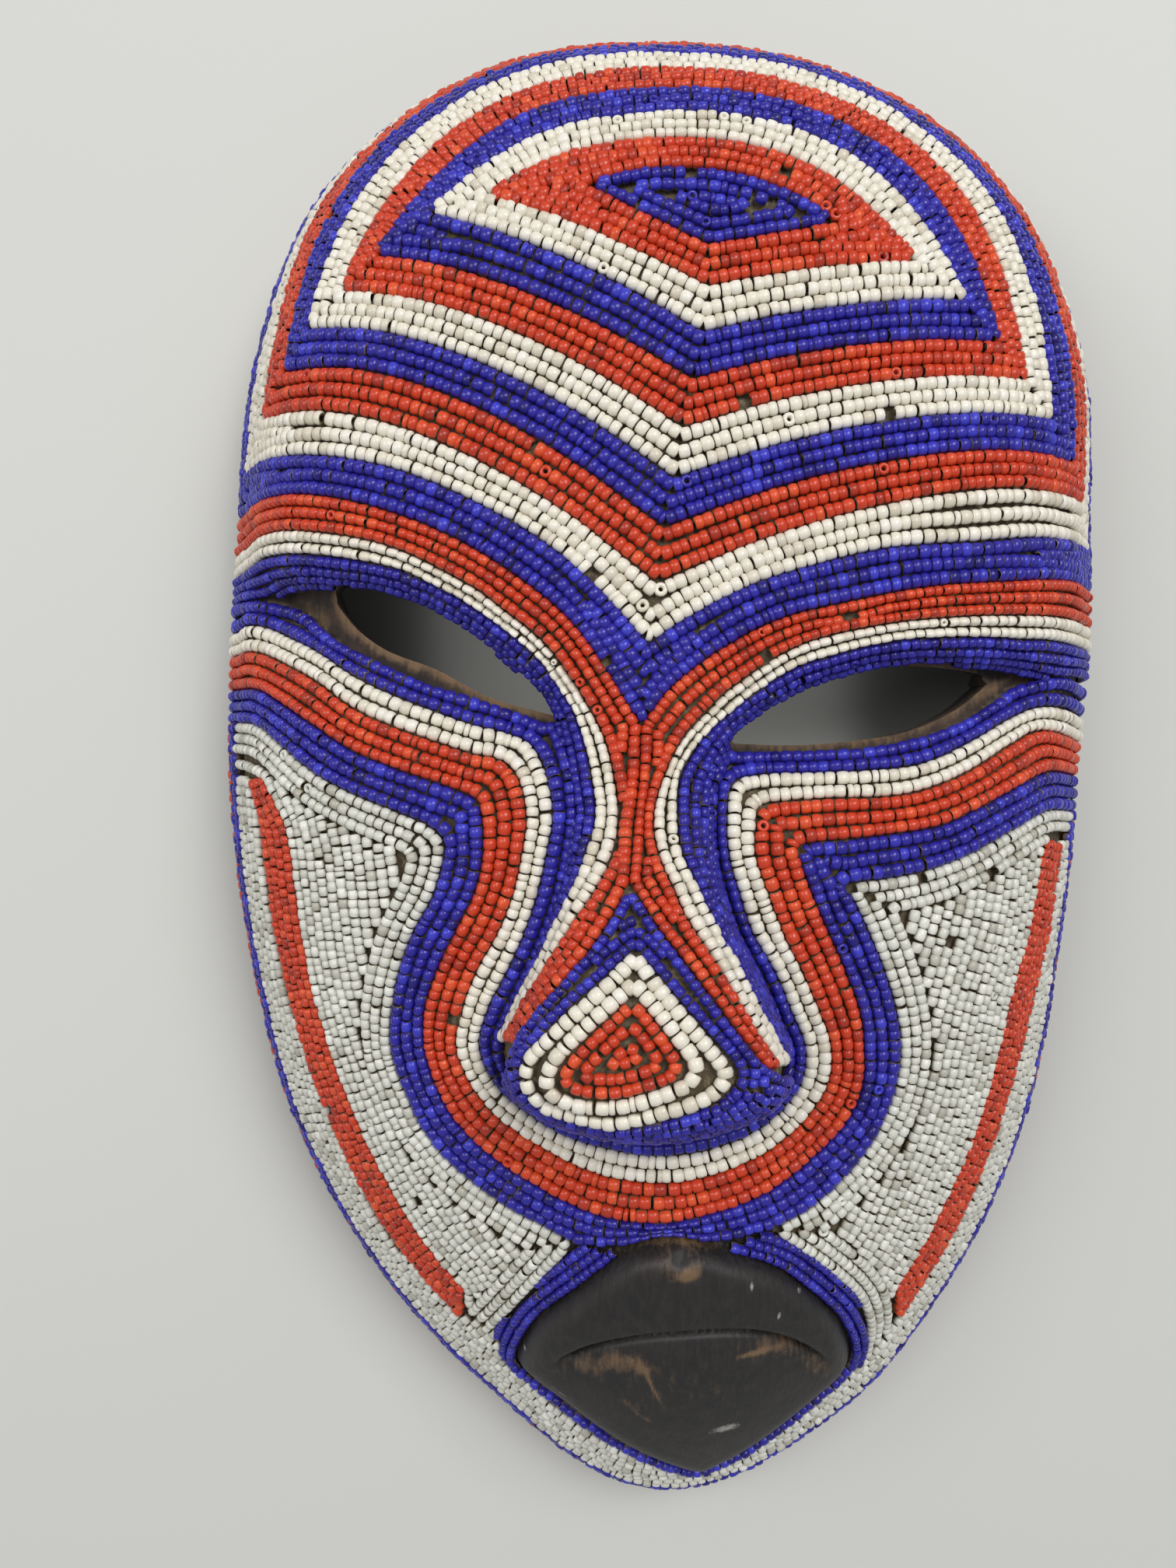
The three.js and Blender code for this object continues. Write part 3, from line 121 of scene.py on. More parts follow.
# Courses of the forehead, from the lens outward
RINGS = (
    Ring((-21.5, 135), (39, 126), (7.5, 120.5), (0.711, 0.711, 0.702)),
    Ring((-43, 133), (55.5, 117.5), (7.5, 111), (0.745, 0.752, 0.738)),
    Ring((-56, 129.5), (67, 109), (6.5, 100.5), (0.78, 0.791, 0.773)),
    Ring((-68, 120), (74.5, 99.5), (4, 90), (0.814, 0.829, 0.808)),
    Ring((-76, 112.5), (81, 91.5), (2, 79), (0.85, 0.866, 0.842)),
    Ring((-84.5, 105.5), (88, 83.5), (0, 67.5), (0.888, 0.901, 0.876)),
    Ring((-91, 97), (95.5, 75.5), (-2.5, 56.5), (0.923, 0.935, 0.911)),
    Ring((-98, 87.5), (101, 68), (-4, 44), (0.958, 0.967, 0.951)),
)

# Courses over the eyes and down the nose, each named for the band above it
WHITE_BROW_LEFT = [[-107, 79.5], [-97, 77.5], [-83.5, 75], [-64.5, 70.5], [-46.5, 63],
                   [-29, 53], [-17, 42.5], [-6, 30]]
WHITE_BROW_RIGHT = [[-6, 30], [2, 35.5], [16, 43], [31.5, 48], [49, 52], [67.5, 53.5], [86, 56],
                    [105, 57.5]]
BLUE_BROW_LEFT = [[-108, 69.5], [-98.5, 68.5], [-83.5, 66], [-64.5, 60.5], [-46.5, 52.5],
                  [-29, 40.5], [-19, 30], [-7.5, 12]]
BLUE_BROW_RIGHT = [[-7.5, 12], [-1.5, 20], [9, 28], [23, 35.5], [40.5, 40], [58.5, 43.5],
                   [77.5, 45.5], [95, 48], [107, 49]]
NOSE_RIDGE = [[-7.5, 12], [-8, 0], [-9, -9], [-10.5, -23.5]]
RED_BROW_LEFT = [[-108.5, 59.5], [-95.5, 59.4], [-83.5, 57.6], [-64.5, 53], [-47, 44.5],
                 [-38, 38.1], [-29.5, 31.2], [-23.6, 24.1], [-19, 16.2], [-15.5, 8.5], [-13.5, 0],
                 [-12.5, -8.5], [-13.5, -16.5], [-17, -25], [-22, -33.5], [-27, -42],
                 [-32, -50.5], [-36.6, -59]]
WHITE_EYE_LEFT = [[-109, 53.5], [-97, 54.2], [-84, 53], [-65, 49.3], [-56, 45.8], [-47, 41],
                  [-38, 34.8], [-30, 27.9], [-23.7, 19.8], [-20, 10], [-18, 0], [-17, -8.5],
                  [-18.5, -17], [-21.5, -25.5], [-25.5, -34], [-29.5, -43], [-34, -51.5],
                  [-38, -60.5]]
RED_BROW_RIGHT = [[107, 39.5], [87, 38.4], [68, 37.3], [49.5, 35.4], [33, 31.8], [23.6, 27.8],
                  [14.4, 21.8], [9.4, 17.6], [1.7, 8.6], [-2.5, 0], [-5, -8.5], [-4.5, -16.5],
                  [-1.5, -24.5], [2, -32.5], [7, -40.5], [11.5, -48.5], [16, -56.5],
                  [19.5, -61.5]]
WHITE_EYE_RIGHT = [[106.5, 33.4], [87.5, 33.3], [68.5, 33.3], [50, 32.1], [31, 27.2], [21, 22.2],
                   [11.4, 15.2], [7.2, 10.8], [3.9, 6], [0.8, 0], [0, -8.5], [0.5, -17],
                   [3.5, -25], [7, -33], [11, -41], [15, -49], [19.5, -57], [22.5, -62.5]]

# Courses right across the face, under the eyes and round the nose
BLUE_CHEEK = [[-109, 38], [-102.5, 38.5], [-86.5, 31], [-75.5, 24], [-65.5, 19], [-47.5, 12],
              [-39.5, 10], [-33, 7], [-29, 0], [-27.5, -9], [-29, -17.5], [-31, -26.5],
              [-34, -35.5], [-38, -44.5], [-42.5, -53.5], [-44.5, -63], [-39.5, -73],
              [-27, -82], [-15, -86], [-2.5, -87.5], [10, -85.5], [20.5, -81], [29, -72],
              [30.5, -62.5], [27, -53.5], [23, -44], [18, -35.5], [15, -26.5], [12.5, -17.5],
              [12, -9], [13.5, -2], [20, 0], [33, 0.5], [51, 1.5], [60.5, 3.5], [71, 8],
              [82.5, 14], [92.5, 17.5], [106.5, 16.5]]
WHITE_CHEEK = [[-109, 32], [-102, 31.5], [-85.5, 23.5], [-75, 16.5], [-65.5, 12], [-47.5, 5.5],
               [-40, 3.5], [-35.5, -1], [-33.5, -9], [-34.5, -17.5], [-36.5, -26.5],
               [-40, -35.5], [-45, -44.5], [-48.5, -54], [-50, -63.5], [-45.5, -73.5],
               [-37, -82], [-20.5, -91], [-4.5, -94], [10, -92], [24.5, -85], [35, -73],
               [36.5, -62.5], [33.5, -53.5], [29.5, -44.5], [25, -35.5], [21.5, -26.5],
               [18.5, -17.5], [19, -10.5], [21, -7], [32.5, -5.5], [50.5, -4.5], [60, -2.5],
               [70, 1.5], [81, 7.5], [91, 11.5], [106, 10]]
RED_CHEEK = [[-109, 23], [-99.5, 21.5], [-85, 13], [-74.5, 6.5], [-65, 2.5], [-47, -4],
             [-44, -8], [-43.5, -18], [-45.5, -26.5], [-50, -35.5], [-54.5, -45],
             [-57.5, -54.5], [-57.5, -64], [-54.5, -74], [-49, -83], [-39, -91.5],
             [-20.5, -101.5], [-4.5, -104], [10, -101.5], [24.5, -95.5], [39.5, -82], [44, -73],
             [44.5, -63], [43, -53.5], [39.5, -44.5], [35.5, -35.5], [31.5, -26.5], [29, -18.5],
             [29.5, -15.5], [41.5, -14], [60, -11.5], [69.5, -8], [80.5, -3], [92, 1.5],
             [105.5, 1]]
BLUE_JAW_LEFT = [[-109, 14.5], [-99.5, 12.5], [-85, 2], [-74.5, -3.5], [-65.5, -7], [-56, -11],
                 [-52.5, -14.5], [-52.5, -18], [-55, -27], [-60, -36], [-63.5, -45.5],
                 [-65.5, -55], [-66, -64.5], [-63, -74.5], [-59, -84], [-51.5, -93],
                 [-39, -102], [-22, -110.5]]
BLUE_JAW_MIDDLE = [[-22, -110.5], [-11.5, -110], [-4.5, -107.6], [1.5, -107.2], [10.5, -108.6],
                   [23, -106.5]]
BLUE_JAW_RIGHT = [[23, -106.5], [33.5, -101], [43, -92], [49, -83], [52.5, -73.5],
                  [53.5, -63.5], [52, -54], [49, -45], [45, -35.5], [41, -27.5], [39.5, -24.5],
                  [50.5, -23], [60, -21], [70, -17.5], [80.5, -12.5], [92.5, -8], [105, -8.5]]

# Cheeks: the two sides of each red stripe, the border round the mouth, and the open ends
STRIPE_LEFT_IN = [[-98.5, 0], [-92.5, -10], [-90.5, -18.5], [-88.5, -38], [-85, -57],
                  [-79, -77], [-71, -97], [-60, -117], [-50, -129]]
STRIPE_LEFT_OUT = [[-103.5, -0.5], [-100.5, -9.5], [-99, -19.5], [-97, -39], [-93, -58.5],
                   [-87.5, -79], [-79.5, -100], [-68, -121], [-52, -140]]
STRIPE_RIGHT_IN = [[92.5, -15.5], [90.5, -19], [88, -38], [82.5, -57], [79, -77], [73, -97],
                   [64.5, -117.5], [58, -129]]
STRIPE_RIGHT_OUT = [[99.5, -16.5], [99, -19.5], [96.5, -39.5], [91.5, -59], [87, -79],
                    [81, -100], [73, -121], [61, -141]]
MOUTH_BAND_LEFT = [[-22, -110.5], [-32, -124], [-43, -140.5]]
MOUTH_BAND_UNDER = [[-43, -140.5], [-40, -152.8], [-28.8, -162.4], [-13.5, -173.6], [-1, -181.6],
                    [9.5, -187.6], [17.3, -184.3], [27.3, -176.8], [40.2, -165.4], [52, -152.5]]
MOUTH_BAND_RIGHT = [[23, -106.5], [35.5, -116.5], [46.5, -128.5], [51.5, -140.5],
                    [52, -152.5]]
CHEEK_TOP_LEFT = [[-109, 2.5], [-104, 1.5]]
CHEEK_TOP_RIGHT = [[104, -14.5], [98, -14.5]]
CHEEK_END_LEFT = [[-51, -139.5]]
CHEEK_END_RIGHT = [[60, -140.5]]
WHITE_EDGE_LEFT = [-108.6, 0.5]
WHITE_EDGE_RIGHT = [104, -16]

# Tip of the nose: the courses round its blue, white and red rows
NOSE_BLUE_LEFT = [[-10.5, -23.5], [-15, -32], [-21, -40.5], [-28, -49.5], [-34, -58]]
NOSE_BLUE_RIGHT = [[-10.5, -23.5], [-5, -32], [1, -40], [7, -48], [12, -55], [16.5, -61]]
NOSE_WHITE = [[-9.5, -36.5], [-22, -48], [-30, -57], [-32.5, -61.5], [-32, -66], [-28.5, -69.5],
              [-20.5, -72], [-12.5, -72.5], [0, -69.5], [6.5, -67], [10.5, -63.5],
              [10.5, -59.5], [0.5, -48]]
NOSE_RED = [[-10, -45.5], [-21.5, -56], [-25.5, -61.5], [-25, -64], [-20.5, -66], [-12.5, -66],
            [-4, -63.5], [-0.5, -61.5], [0, -58.5], [-4.5, -52]]


# Lines in the plane


def smooth(t: Array) -> Array:
    """Eases a share from 0 to 1."""
    t = np.clip(t, 0, 1)
    return t * t * (3 - 2 * t)


def cubic(before: Array, start: Array, end: Array, after: Array, t: Array) -> Array:
    """A smooth value between two of four neighbours, at share t."""
    return 0.5 * (2 * start + (end - before) * t
                  + (2 * before - 5 * start + 4 * end - after) * t * t
                  + (3 * start - before - 3 * end + after) * t ** 3)


def smooth_line(points: Sequence[Point], closed: bool = False, steps: int = 6) -> Array:
    """A smooth line through its points.

    Args:
        points: the points in the plane.
        closed: whether the last point joins the first.
        steps: straight steps between two points.

    Returns:
        The line's points, one per row.
    """
    p = np.asarray(points, float)
    if closed:
        ring = np.vstack([p[-1], p, p[:2]])
    else:
        ring = np.vstack([2 * p[0] - p[1], p, 2 * p[-1] - p[-2]])
    t = (np.arange(steps) / steps)[:, None]
    line = [cubic(*ring[i:i + 4], t) for i in range(len(ring) - 3)]
    return np.vstack(line + ([] if closed else [p[-1:]]))


def run_of(line: Array) -> Array:
    """Distance run along a line at each of its points."""
    return np.concatenate([[0], np.cumsum(np.linalg.norm(np.diff(line, axis=0), axis=1))])


def along(line: Array, run: Array, want: Array) -> Array:
    """Points of a line at wanted distances, given its distance at each point."""
    return np.stack([np.interp(want, run, line[:, k]) for k in range(line.shape[1])], axis=1)


def stepped(line: Array, count: int) -> Array:
    """The same line with a number of evenly spaced points."""
    run = run_of(line)
    return along(line, run, np.linspace(0, run[-1], count))


def paced(line: Array) -> Array:
    """The same line with its points about a pace apart."""
    return stepped(line, max(2, round(run_of(line)[-1] / PACE) + 1))


def join(*stretches: Sequence[Point]) -> Array:
    """Smooth stretches that meet at sharp corners, as one evenly stepped line.

    Args:
        stretches: the points of each stretch, in order.

    Returns:
        The line's points.
    """
    lines = [paced(smooth_line(points)) for points in stretches]
    return np.vstack([lines[0], *(line[1:] for line in lines[1:])])


def nearest(line: Array, points: Array, closed: bool = False) -> tuple[Array, Array]:
    """Finds the nearest place on a line for each point.

    Args:
        line: the line's points.
        points: the points to measure from.
        closed: whether the line's last point joins its first.

    Returns:
        Each point's distance to the line, and how far along the line its nearest place is.
    """
    whole = np.vstack([line, line[:1]]) if closed else line
    starts, step = whole[:-1], np.diff(whole, axis=0)
    square = np.maximum((step ** 2).sum(1), TINY)
    run = run_of(whole)[:-1]
    best, place = np.empty(len(points)), np.empty(len(points))
    for low in range(0, len(points), BATCH):
        part = points[low:low + BATCH, None, :] - starts[None]
        t = np.clip((part * step).sum(2) / square, 0, 1)
        gaps = np.linalg.norm(part - t[..., None] * step, axis=2)
        chosen = gaps.argmin(1)
        rows = np.arange(len(part))
        best[low:low + BATCH] = gaps[rows, chosen]
        place[low:low + BATCH] = run[chosen] + t[rows, chosen] * np.sqrt(square[chosen])
    return best, place


def distance_to(line: Array, points: Array, closed: bool = False) -> Array:
    """Distance from each point to a line."""
    return nearest(line, points, closed)[0]


def calm(values: Array, reach: int, closed: bool = False) -> Array:
    """Values evened out over their neighbours, with the two ends of an open run kept.

    Args:
        values: the values in order.
        reach: how many neighbours count on either side.
        closed: whether the last value lies next to the first.

    Returns:
        As many evened values.
    """
    kernel = np.ones(2 * reach + 1) / (2 * reach + 1)
    if closed:
        return np.convolve(np.concatenate([values[-reach:], values, values[:reach]]), kernel,
                           "valid")
    first = 2 * values[0] - values[1:reach + 1][::-1]
    last = 2 * values[-1] - values[-reach - 1:-1][::-1]
    return np.convolve(np.concatenate([first, values, last]), kernel, "valid")


def is_inside(loop: Array, points: Array) -> Array:
    """Finds which points lie inside a closed line.

    Args:
        loop: the line's points.
        points: the points to test.

    Returns:
        True for each point inside.
    """
    inside = np.zeros(len(points), bool)
    x, y = points[:, 0], points[:, 1]
    for a, b in zip(np.roll(loop, 1, axis=0), loop):
        if a[1] == b[1]:
            continue
        crosses = (a[1] > y) != (b[1] > y)
        inside ^= crosses & (x < a[0] + (y - a[1]) * (b[0] - a[0]) / (b[1] - a[1]))
    return inside


# The form of the carving


@dataclass
class Form:
    """The carved face: its outline, its vault, and what stands out of it.

    The outline is given by its distances from the middle, evenly spread round it from the right.
    The vault falls from the top of the face to its edge, which drops at the crown and the chin.
    Brows and nose rise from their foot with a steep wall, and the eye sockets sink beside them.
    The lips fall away at the crease between them. From the outline on, a rounded shoulder leads
    down the side wall, and the lowest beads end a little above the table.
    """

    middle: Point = (-0.5, 6.5)
    radii: Sequence[float] = (106, 113, 126.5, 152, 174, 184, 186, 184.5, 171.5, 146, 123.5,
                              112.5, 109, 111, 119, 134, 153, 175.5, 198.9, 184, 158, 135, 117,
                              108)
    face_top: float = 77
    vault_power: float = 6
    power_change: float = 2
    early_fall: float = 0.25
    side_edge: float = 38
    crown_drop: float = 6
    chin_drop: float = 16
    edge_fade: float = 0.12
    brow_rise: float = 2
    nose_rise: float = 26
    nose_top_y: float = 12
    nose_tip_y: float = -61.5
    wall_width: float = 22
    wall_power: float = 5.5
    socket_depth: float = 10
    socket_reach: float = 14
    lip_height: float = 8
    lip_width: float = 9
    lip_power: float = 4
    upper_sink: float = 0.7
    upper_reach: float = 8.0
    lower_sink: float = 3.0
    lower_reach: float = 5.5
    crease_edge: float = 1.1
    crease_end: float = 8
    groove_place: float = 1.2
    groove_depth: float = 1.6
    groove_width: float = 0.9
    shoulder_turn: float = 12
    shoulder_slope: float = 0.9
    probe_turn: float = 0.01
    lowest_beads: float = 8
    eyes: list = field(default_factory=lambda: [smooth_line(EYE_LEFT), smooth_line(EYE_RIGHT)])
    mouth: Array = field(default_factory=lambda: smooth_line(MOUTH, True, 3))
    crease: Array = field(default_factory=lambda: smooth_line(CREASE))
    foot: Array = field(default_factory=lambda: np.vstack([
        smooth_line(part, steps=3) for part in (
            FOOT_BROW_LEFT, FOOT_NOSE_LEFT, FOOT_NOSE_BOTTOM, FOOT_NOSE_RIGHT,
            FOOT_BROW_RIGHT)]))

    def __post_init__(self) -> None:
        """Closes the outline of the upper face and finds how the shoulder bends."""
        well_outside = [[150, 22], [150, 260], [-150, 260], [-150, 41.5]]
        self.upper_face = np.vstack([self.foot, well_outside])
        self.bend = (math.pi / 2 - self.shoulder_slope) / self.shoulder_turn

    def polar(self, points: Array) -> tuple[Array, Array]:
        """Direction and distance of each point from the middle of the face."""
        away = points - np.asarray(self.middle)
        return np.arctan2(away[:, 1], away[:, 0]), np.hypot(away[:, 0], away[:, 1])

    def radius(self, angle: Array) -> Array:
        """Distance of the outline in each direction."""
        radii = np.asarray(self.radii, float)
        turn = (angle / TURN) % 1 * len(radii)
        i = np.floor(turn).astype(int)
        near = [radii[(i + k) % len(radii)] for k in (-1, 0, 1, 2)]
        return cubic(*near, turn - i)

    def edge_height(self, angle: Array) -> Array:
        """Height at which the face turns into its side wall."""
        up = np.sin(angle)
        return self.side_edge - np.where(up > 0, self.crown_drop, self.chin_drop) * up * up

    def vault(self, points: Array) -> tuple[Array, Array]:
        """The plain vault, without sockets, brows, nose and lips.

        Args:
            points: points of the plane.

        Returns:
            Its height, and each point's share of the way to the outline.
        """
        angle, distance = self.polar(points)
        share = distance / self.radius(angle)
        up, down = smooth(np.sin(angle)), smooth(-np.sin(angle))
        power = self.vault_power + self.power_change * up - self.power_change * down
        early = self.early_fall * (1 - up)
        edge = self.edge_height(angle)
        fall = 1 - early * share ** 2 - (1 - early) * share ** power
        return edge + (self.face_top - edge) * fall, share

    def socket(self, points: Array, reach: float) -> Array:
        """How far the eye sockets sink the face."""
        d = np.minimum(*[distance_to(eye, points) for eye in self.eyes])
        return self.socket_depth * np.exp(-((d / reach) ** 2))

    def front(self, points: Array) -> Array:
        """The face with all that sinks into it and stands out of it.

        Args:
            points: points of the plane inside the outline.

        Returns:
            Its height at each of them.
        """
        height, share = self.vault(points)
        fade = smooth((1 - share) / self.edge_fade)
        z = height - fade * self.socket(points, self.socket_reach)
        upper = is_inside(self.upper_face, points)
        if upper.any():
            drop = self.nose_top_y - self.nose_tip_y
            nose = self.nose_rise * smooth((self.nose_top_y - points[upper, 1]) / drop)
            top = height[upper] + fade[upper] * (self.brow_rise + nose)
            d = np.clip(distance_to(self.foot, points[upper]) / self.wall_width, 0, 1)
            z[upper] += (top - z[upper]) * (1 - (1 - d) ** self.wall_power)
        lips = is_inside(self.mouth, points)
        if lips.any():
            d = np.clip(distance_to(self.mouth, points[lips], True) / self.lip_width, 0, 1)
            z[lips] += self.lip_height * (1 - (1 - d) ** self.lip_power)
            z[lips] -= self.crease_fall(points[lips])
        return z

    def crease_fall(self, points: Array) -> Array:
        """How far the lips fall away on either side of the crease between them.

        Args:
            points: points of the plane on the lips.

        Returns:
            The fall at each of them.
        """
        above = points[:, 1] - np.interp(points[:, 0], self.crease[:, 0], self.crease[:, 1])
        ends = self.crease[[0, -1], 0]
        inward = np.minimum(points[:, 0] - ends[0], ends[1] - points[:, 0])
        upper = self.upper_sink * np.exp(-np.maximum(above, 0) / self.upper_reach)
        lower = self.lower_sink * np.exp(np.minimum(above, 0) / self.lower_reach)
        share = smooth((above + self.crease_edge) / self.crease_edge)
        below = above + self.groove_place * self.crease_edge
        groove = np.exp(-(below / self.groove_width) ** 2)
        fall = lower + (upper - lower) * share + self.groove_depth * groove
        return fall * smooth(inward / self.crease_end)

    def lift(self, points: Array) -> Array:
        """From the plane of the pattern to the carving, over the shoulder and down the wall.

        Args:
            points: points in the plane; those beyond the outline lie on the side wall.

        Returns:
            The points in space.
        """
        angle, distance = self.polar(points)
        radius = self.radius(angle)
        beyond = np.maximum(distance - radius, 0)
        result = np.column_stack([points, np.zeros(len(points))])
        face = beyond <= 0
        if face.any():
            result[face, 2] = self.front(points[face])
        side = ~face
        if side.any():
            a, e = angle[side], beyond[side]
            rim = [np.column_stack([np.cos(a + d), np.sin(a + d)])
                   * self.radius(a + d)[:, None] for d in (-self.probe_turn, self.probe_turn, 0)]
            step = rim[1] - rim[0]
            out = np.column_stack([step[:, 1], -step[:, 0]])
            out /= np.linalg.norm(out, axis=1)[:, None]
            turned = np.minimum(e, self.shoulder_turn)
            slope = self.shoulder_slope + self.bend * turned
            reach = (np.sin(slope) - math.sin(self.shoulder_slope)) / self.bend
            down = (math.cos(self.shoulder_slope) - np.cos(slope)) / self.bend + e - turned
            result[side, :2] = np.asarray(self.middle) + rim[2] + out * reach[:, None]
            result[side, 2] = self.edge_height(a) - down
        return result

    def normal(self, points: Array, reach: float = 0.8) -> Array:
        """Which way the surface faces at each point of the plane."""
        x, y = np.array([reach, 0]), np.array([0, reach])
        a = self.lift(points + x) - self.lift(points - x)
        b = self.lift(points + y) - self.lift(points - y)
        n = np.cross(a, b)
        return n / np.maximum(np.linalg.norm(n, axis=1), TINY)[:, None]

    def beyond_for(self, angle: Array, height: float) -> Array:
        """How far beyond the outline the side wall comes down to a height."""
        turn = math.cos(self.shoulder_slope) / self.bend
        return self.edge_height(angle) - height - turn + self.shoulder_turn

    def on_rim(self, angle: Array, share: Array = 1.0, beyond: Array = 0.0) -> Array:
        """Points of the plane at a share of the outline, or beyond it."""
        radius = self.radius(angle) * share + beyond
        ray = np.column_stack([np.cos(angle), np.sin(angle)])
        return np.asarray(self.middle) + ray * radius[:, None]

    def down_side(self, point: Point, reach: float) -> list[float]:
        """A point of the edge, moved straight down the side wall by a distance."""
        angle, _ = self.polar(np.array([point], float))
        return self.on_rim(angle, 1.0, reach)[0].tolist()

    def side_run(self, point: Point) -> list[list[float]]:
        """How a band runs up the side wall from the lowest beads to its end at the edge."""
        angle, _ = self.polar(np.array([point], float))
        reach = float(self.beyond_for(angle, self.lowest_beads)[0])
        return [self.down_side(point, reach), self.down_side(point, self.shoulder_turn),
                list(point)]


# Meshes and materials


def show(name: str, data: bpy.types.ID) -> bpy.types.Object:
    """A new object in the scene that holds a mesh, light or camera."""
    obj = bpy.data.objects.new(name, data)
    bpy.context.scene.collection.objects.link(obj)
    return obj


def make_object(name: str, points: Array, faces: Array, smooth_faces: bool = True,
                shade: Optional[Array] = None) -> bpy.types.Object:
    """A mesh object from arrays.

    Args:
        name: the piece's name.
        points: corners in metres.
        faces: corner numbers, one face of three or four per row.
        smooth_faces: whether the faces are shaded smooth.
        shade: optional values per corner for the material, kept as the layer "shade".

    Returns:
        The linked object.
    """
    mesh = bpy.data.meshes.new(name)
    mesh.vertices.add(len(points))
    mesh.vertices.foreach_set("co", points.astype(np.float32).ravel())
    size = faces.shape[1]
    mesh.loops.add(faces.size)
    mesh.loops.foreach_set("vertex_index", faces.astype(np.int32).ravel())
    mesh.polygons.add(len(faces))
    mesh.polygons.foreach_set("loop_start", np.arange(0, faces.size, size, dtype=np.int32))
    mesh.polygons.foreach_set("use_smooth", np.full(len(faces), smooth_faces))
    mesh.update(calc_edges=True)
    if shade is not None:
        set_shade(mesh, shade)
    return show(name, mesh)


def set_shade(mesh: bpy.types.Mesh, shade: Array) -> None:
    """Keeps three or four values per corner on a mesh, for its material to read."""
    layer = mesh.color_attributes.new("shade", "FLOAT_COLOR", "POINT")
    if shade.shape[1] == 3:
        shade = np.column_stack([shade, np.ones(len(shade))])
    layer.data.foreach_set("color", shade.astype(np.float32).ravel())


class Tree:
    """A node tree being built, with short calls for its nodes and links."""

    def __init__(self, tree: bpy.types.NodeTree) -> None:
        """Starts on an existing tree."""
        self.tree = tree

    def node(self, kind: str, values: Optional[dict] = None, **settings: object) -> bpy.types.Node:
        """Adds a node.

        Args:
            kind: the node's type.
            values: input name or number to a value, or to the socket that feeds it.
            settings: properties of the node.

        Returns:
            The node.
        """
        node = self.tree.nodes.new(kind)
        for key, value in settings.items():
            setattr(node, key, value)
        for key, value in (values or {}).items():
            if isinstance(value, bpy.types.NodeSocket):
                self.tree.links.new(value, node.inputs[key])
            else:
                node.inputs[key].default_value = value
        return node

    def math(self, operation: str, *values: object) -> bpy.types.NodeSocket:
        """The result of a sum on values or sockets."""
        node = self.node("ShaderNodeMath", dict(enumerate(values)), operation=operation)
        return node.outputs[0]

    def mix(self, share: object, a: object, b: object, blend: str = "MIX") -> bpy.types.NodeSocket:
        """A colour between two others."""
        node = self.node("ShaderNodeMix", {0: share, 6: a, 7: b}, data_type="RGBA",
                         blend_type=blend)
        return node.outputs[2]

    def ramp(self, value: object, low: float, high: float) -> bpy.types.NodeSocket:
        """A value eased from 0 at the low mark to 1 at the high one."""
        node = self.node("ShaderNodeMapRange", {0: value, 1: low, 2: high, 3: 0.0, 4: 1.0},
                         interpolation_type="SMOOTHSTEP")
        return node.outputs[0]

    def noise(self, where: object, scale: float, detail: float = 2.0,
              rough: float = 0.5) -> bpy.types.NodeSocket:
        """Cloudy values over a place."""
        node = self.node("ShaderNodeTexNoise", {
            "Vector": where, "Scale": scale, "Detail": detail, "Roughness": rough})
        return node.outputs[0]


def new_material(name: str) -> tuple[bpy.types.Material, Tree, bpy.types.NodeSocket]:
    """Starts a material.

    Args:
        name: the material's name.

    Returns:
        The material, its builder, and the place on the object.
    """
    material = bpy.data.materials.new(name)
    material.use_nodes = True
    material.node_tree.nodes.clear()
    build = Tree(material.node_tree)
    return material, build, build.node("ShaderNodeTexCoord").outputs["Object"]


def new_group(name: str, inputs: dict, outputs: dict
              ) -> tuple[bpy.types.NodeTree, Tree, dict, dict]:
    """Starts a shader node group.

    Args:
        name: the group's name.
        inputs: socket name to its type.
        outputs: socket name to its type.

    Returns:
        The group, its builder, its input sockets and its output sockets.
    """
    tree = bpy.data.node_groups.new(name, "ShaderNodeTree")
    for way, sockets in (("INPUT", inputs), ("OUTPUT", outputs)):
        for label, kind in sockets.items():
            tree.interface.new_socket(label, in_out=way, socket_type=kind)
    build = Tree(tree)
    start = build.node("NodeGroupInput").outputs
    end = build.node("NodeGroupOutput").inputs
    return tree, build, dict(start.items()), dict(end.items())


COLOUR, VALUE, PLACE = "NodeSocketColor", "NodeSocketFloat", "NodeSocketVector"


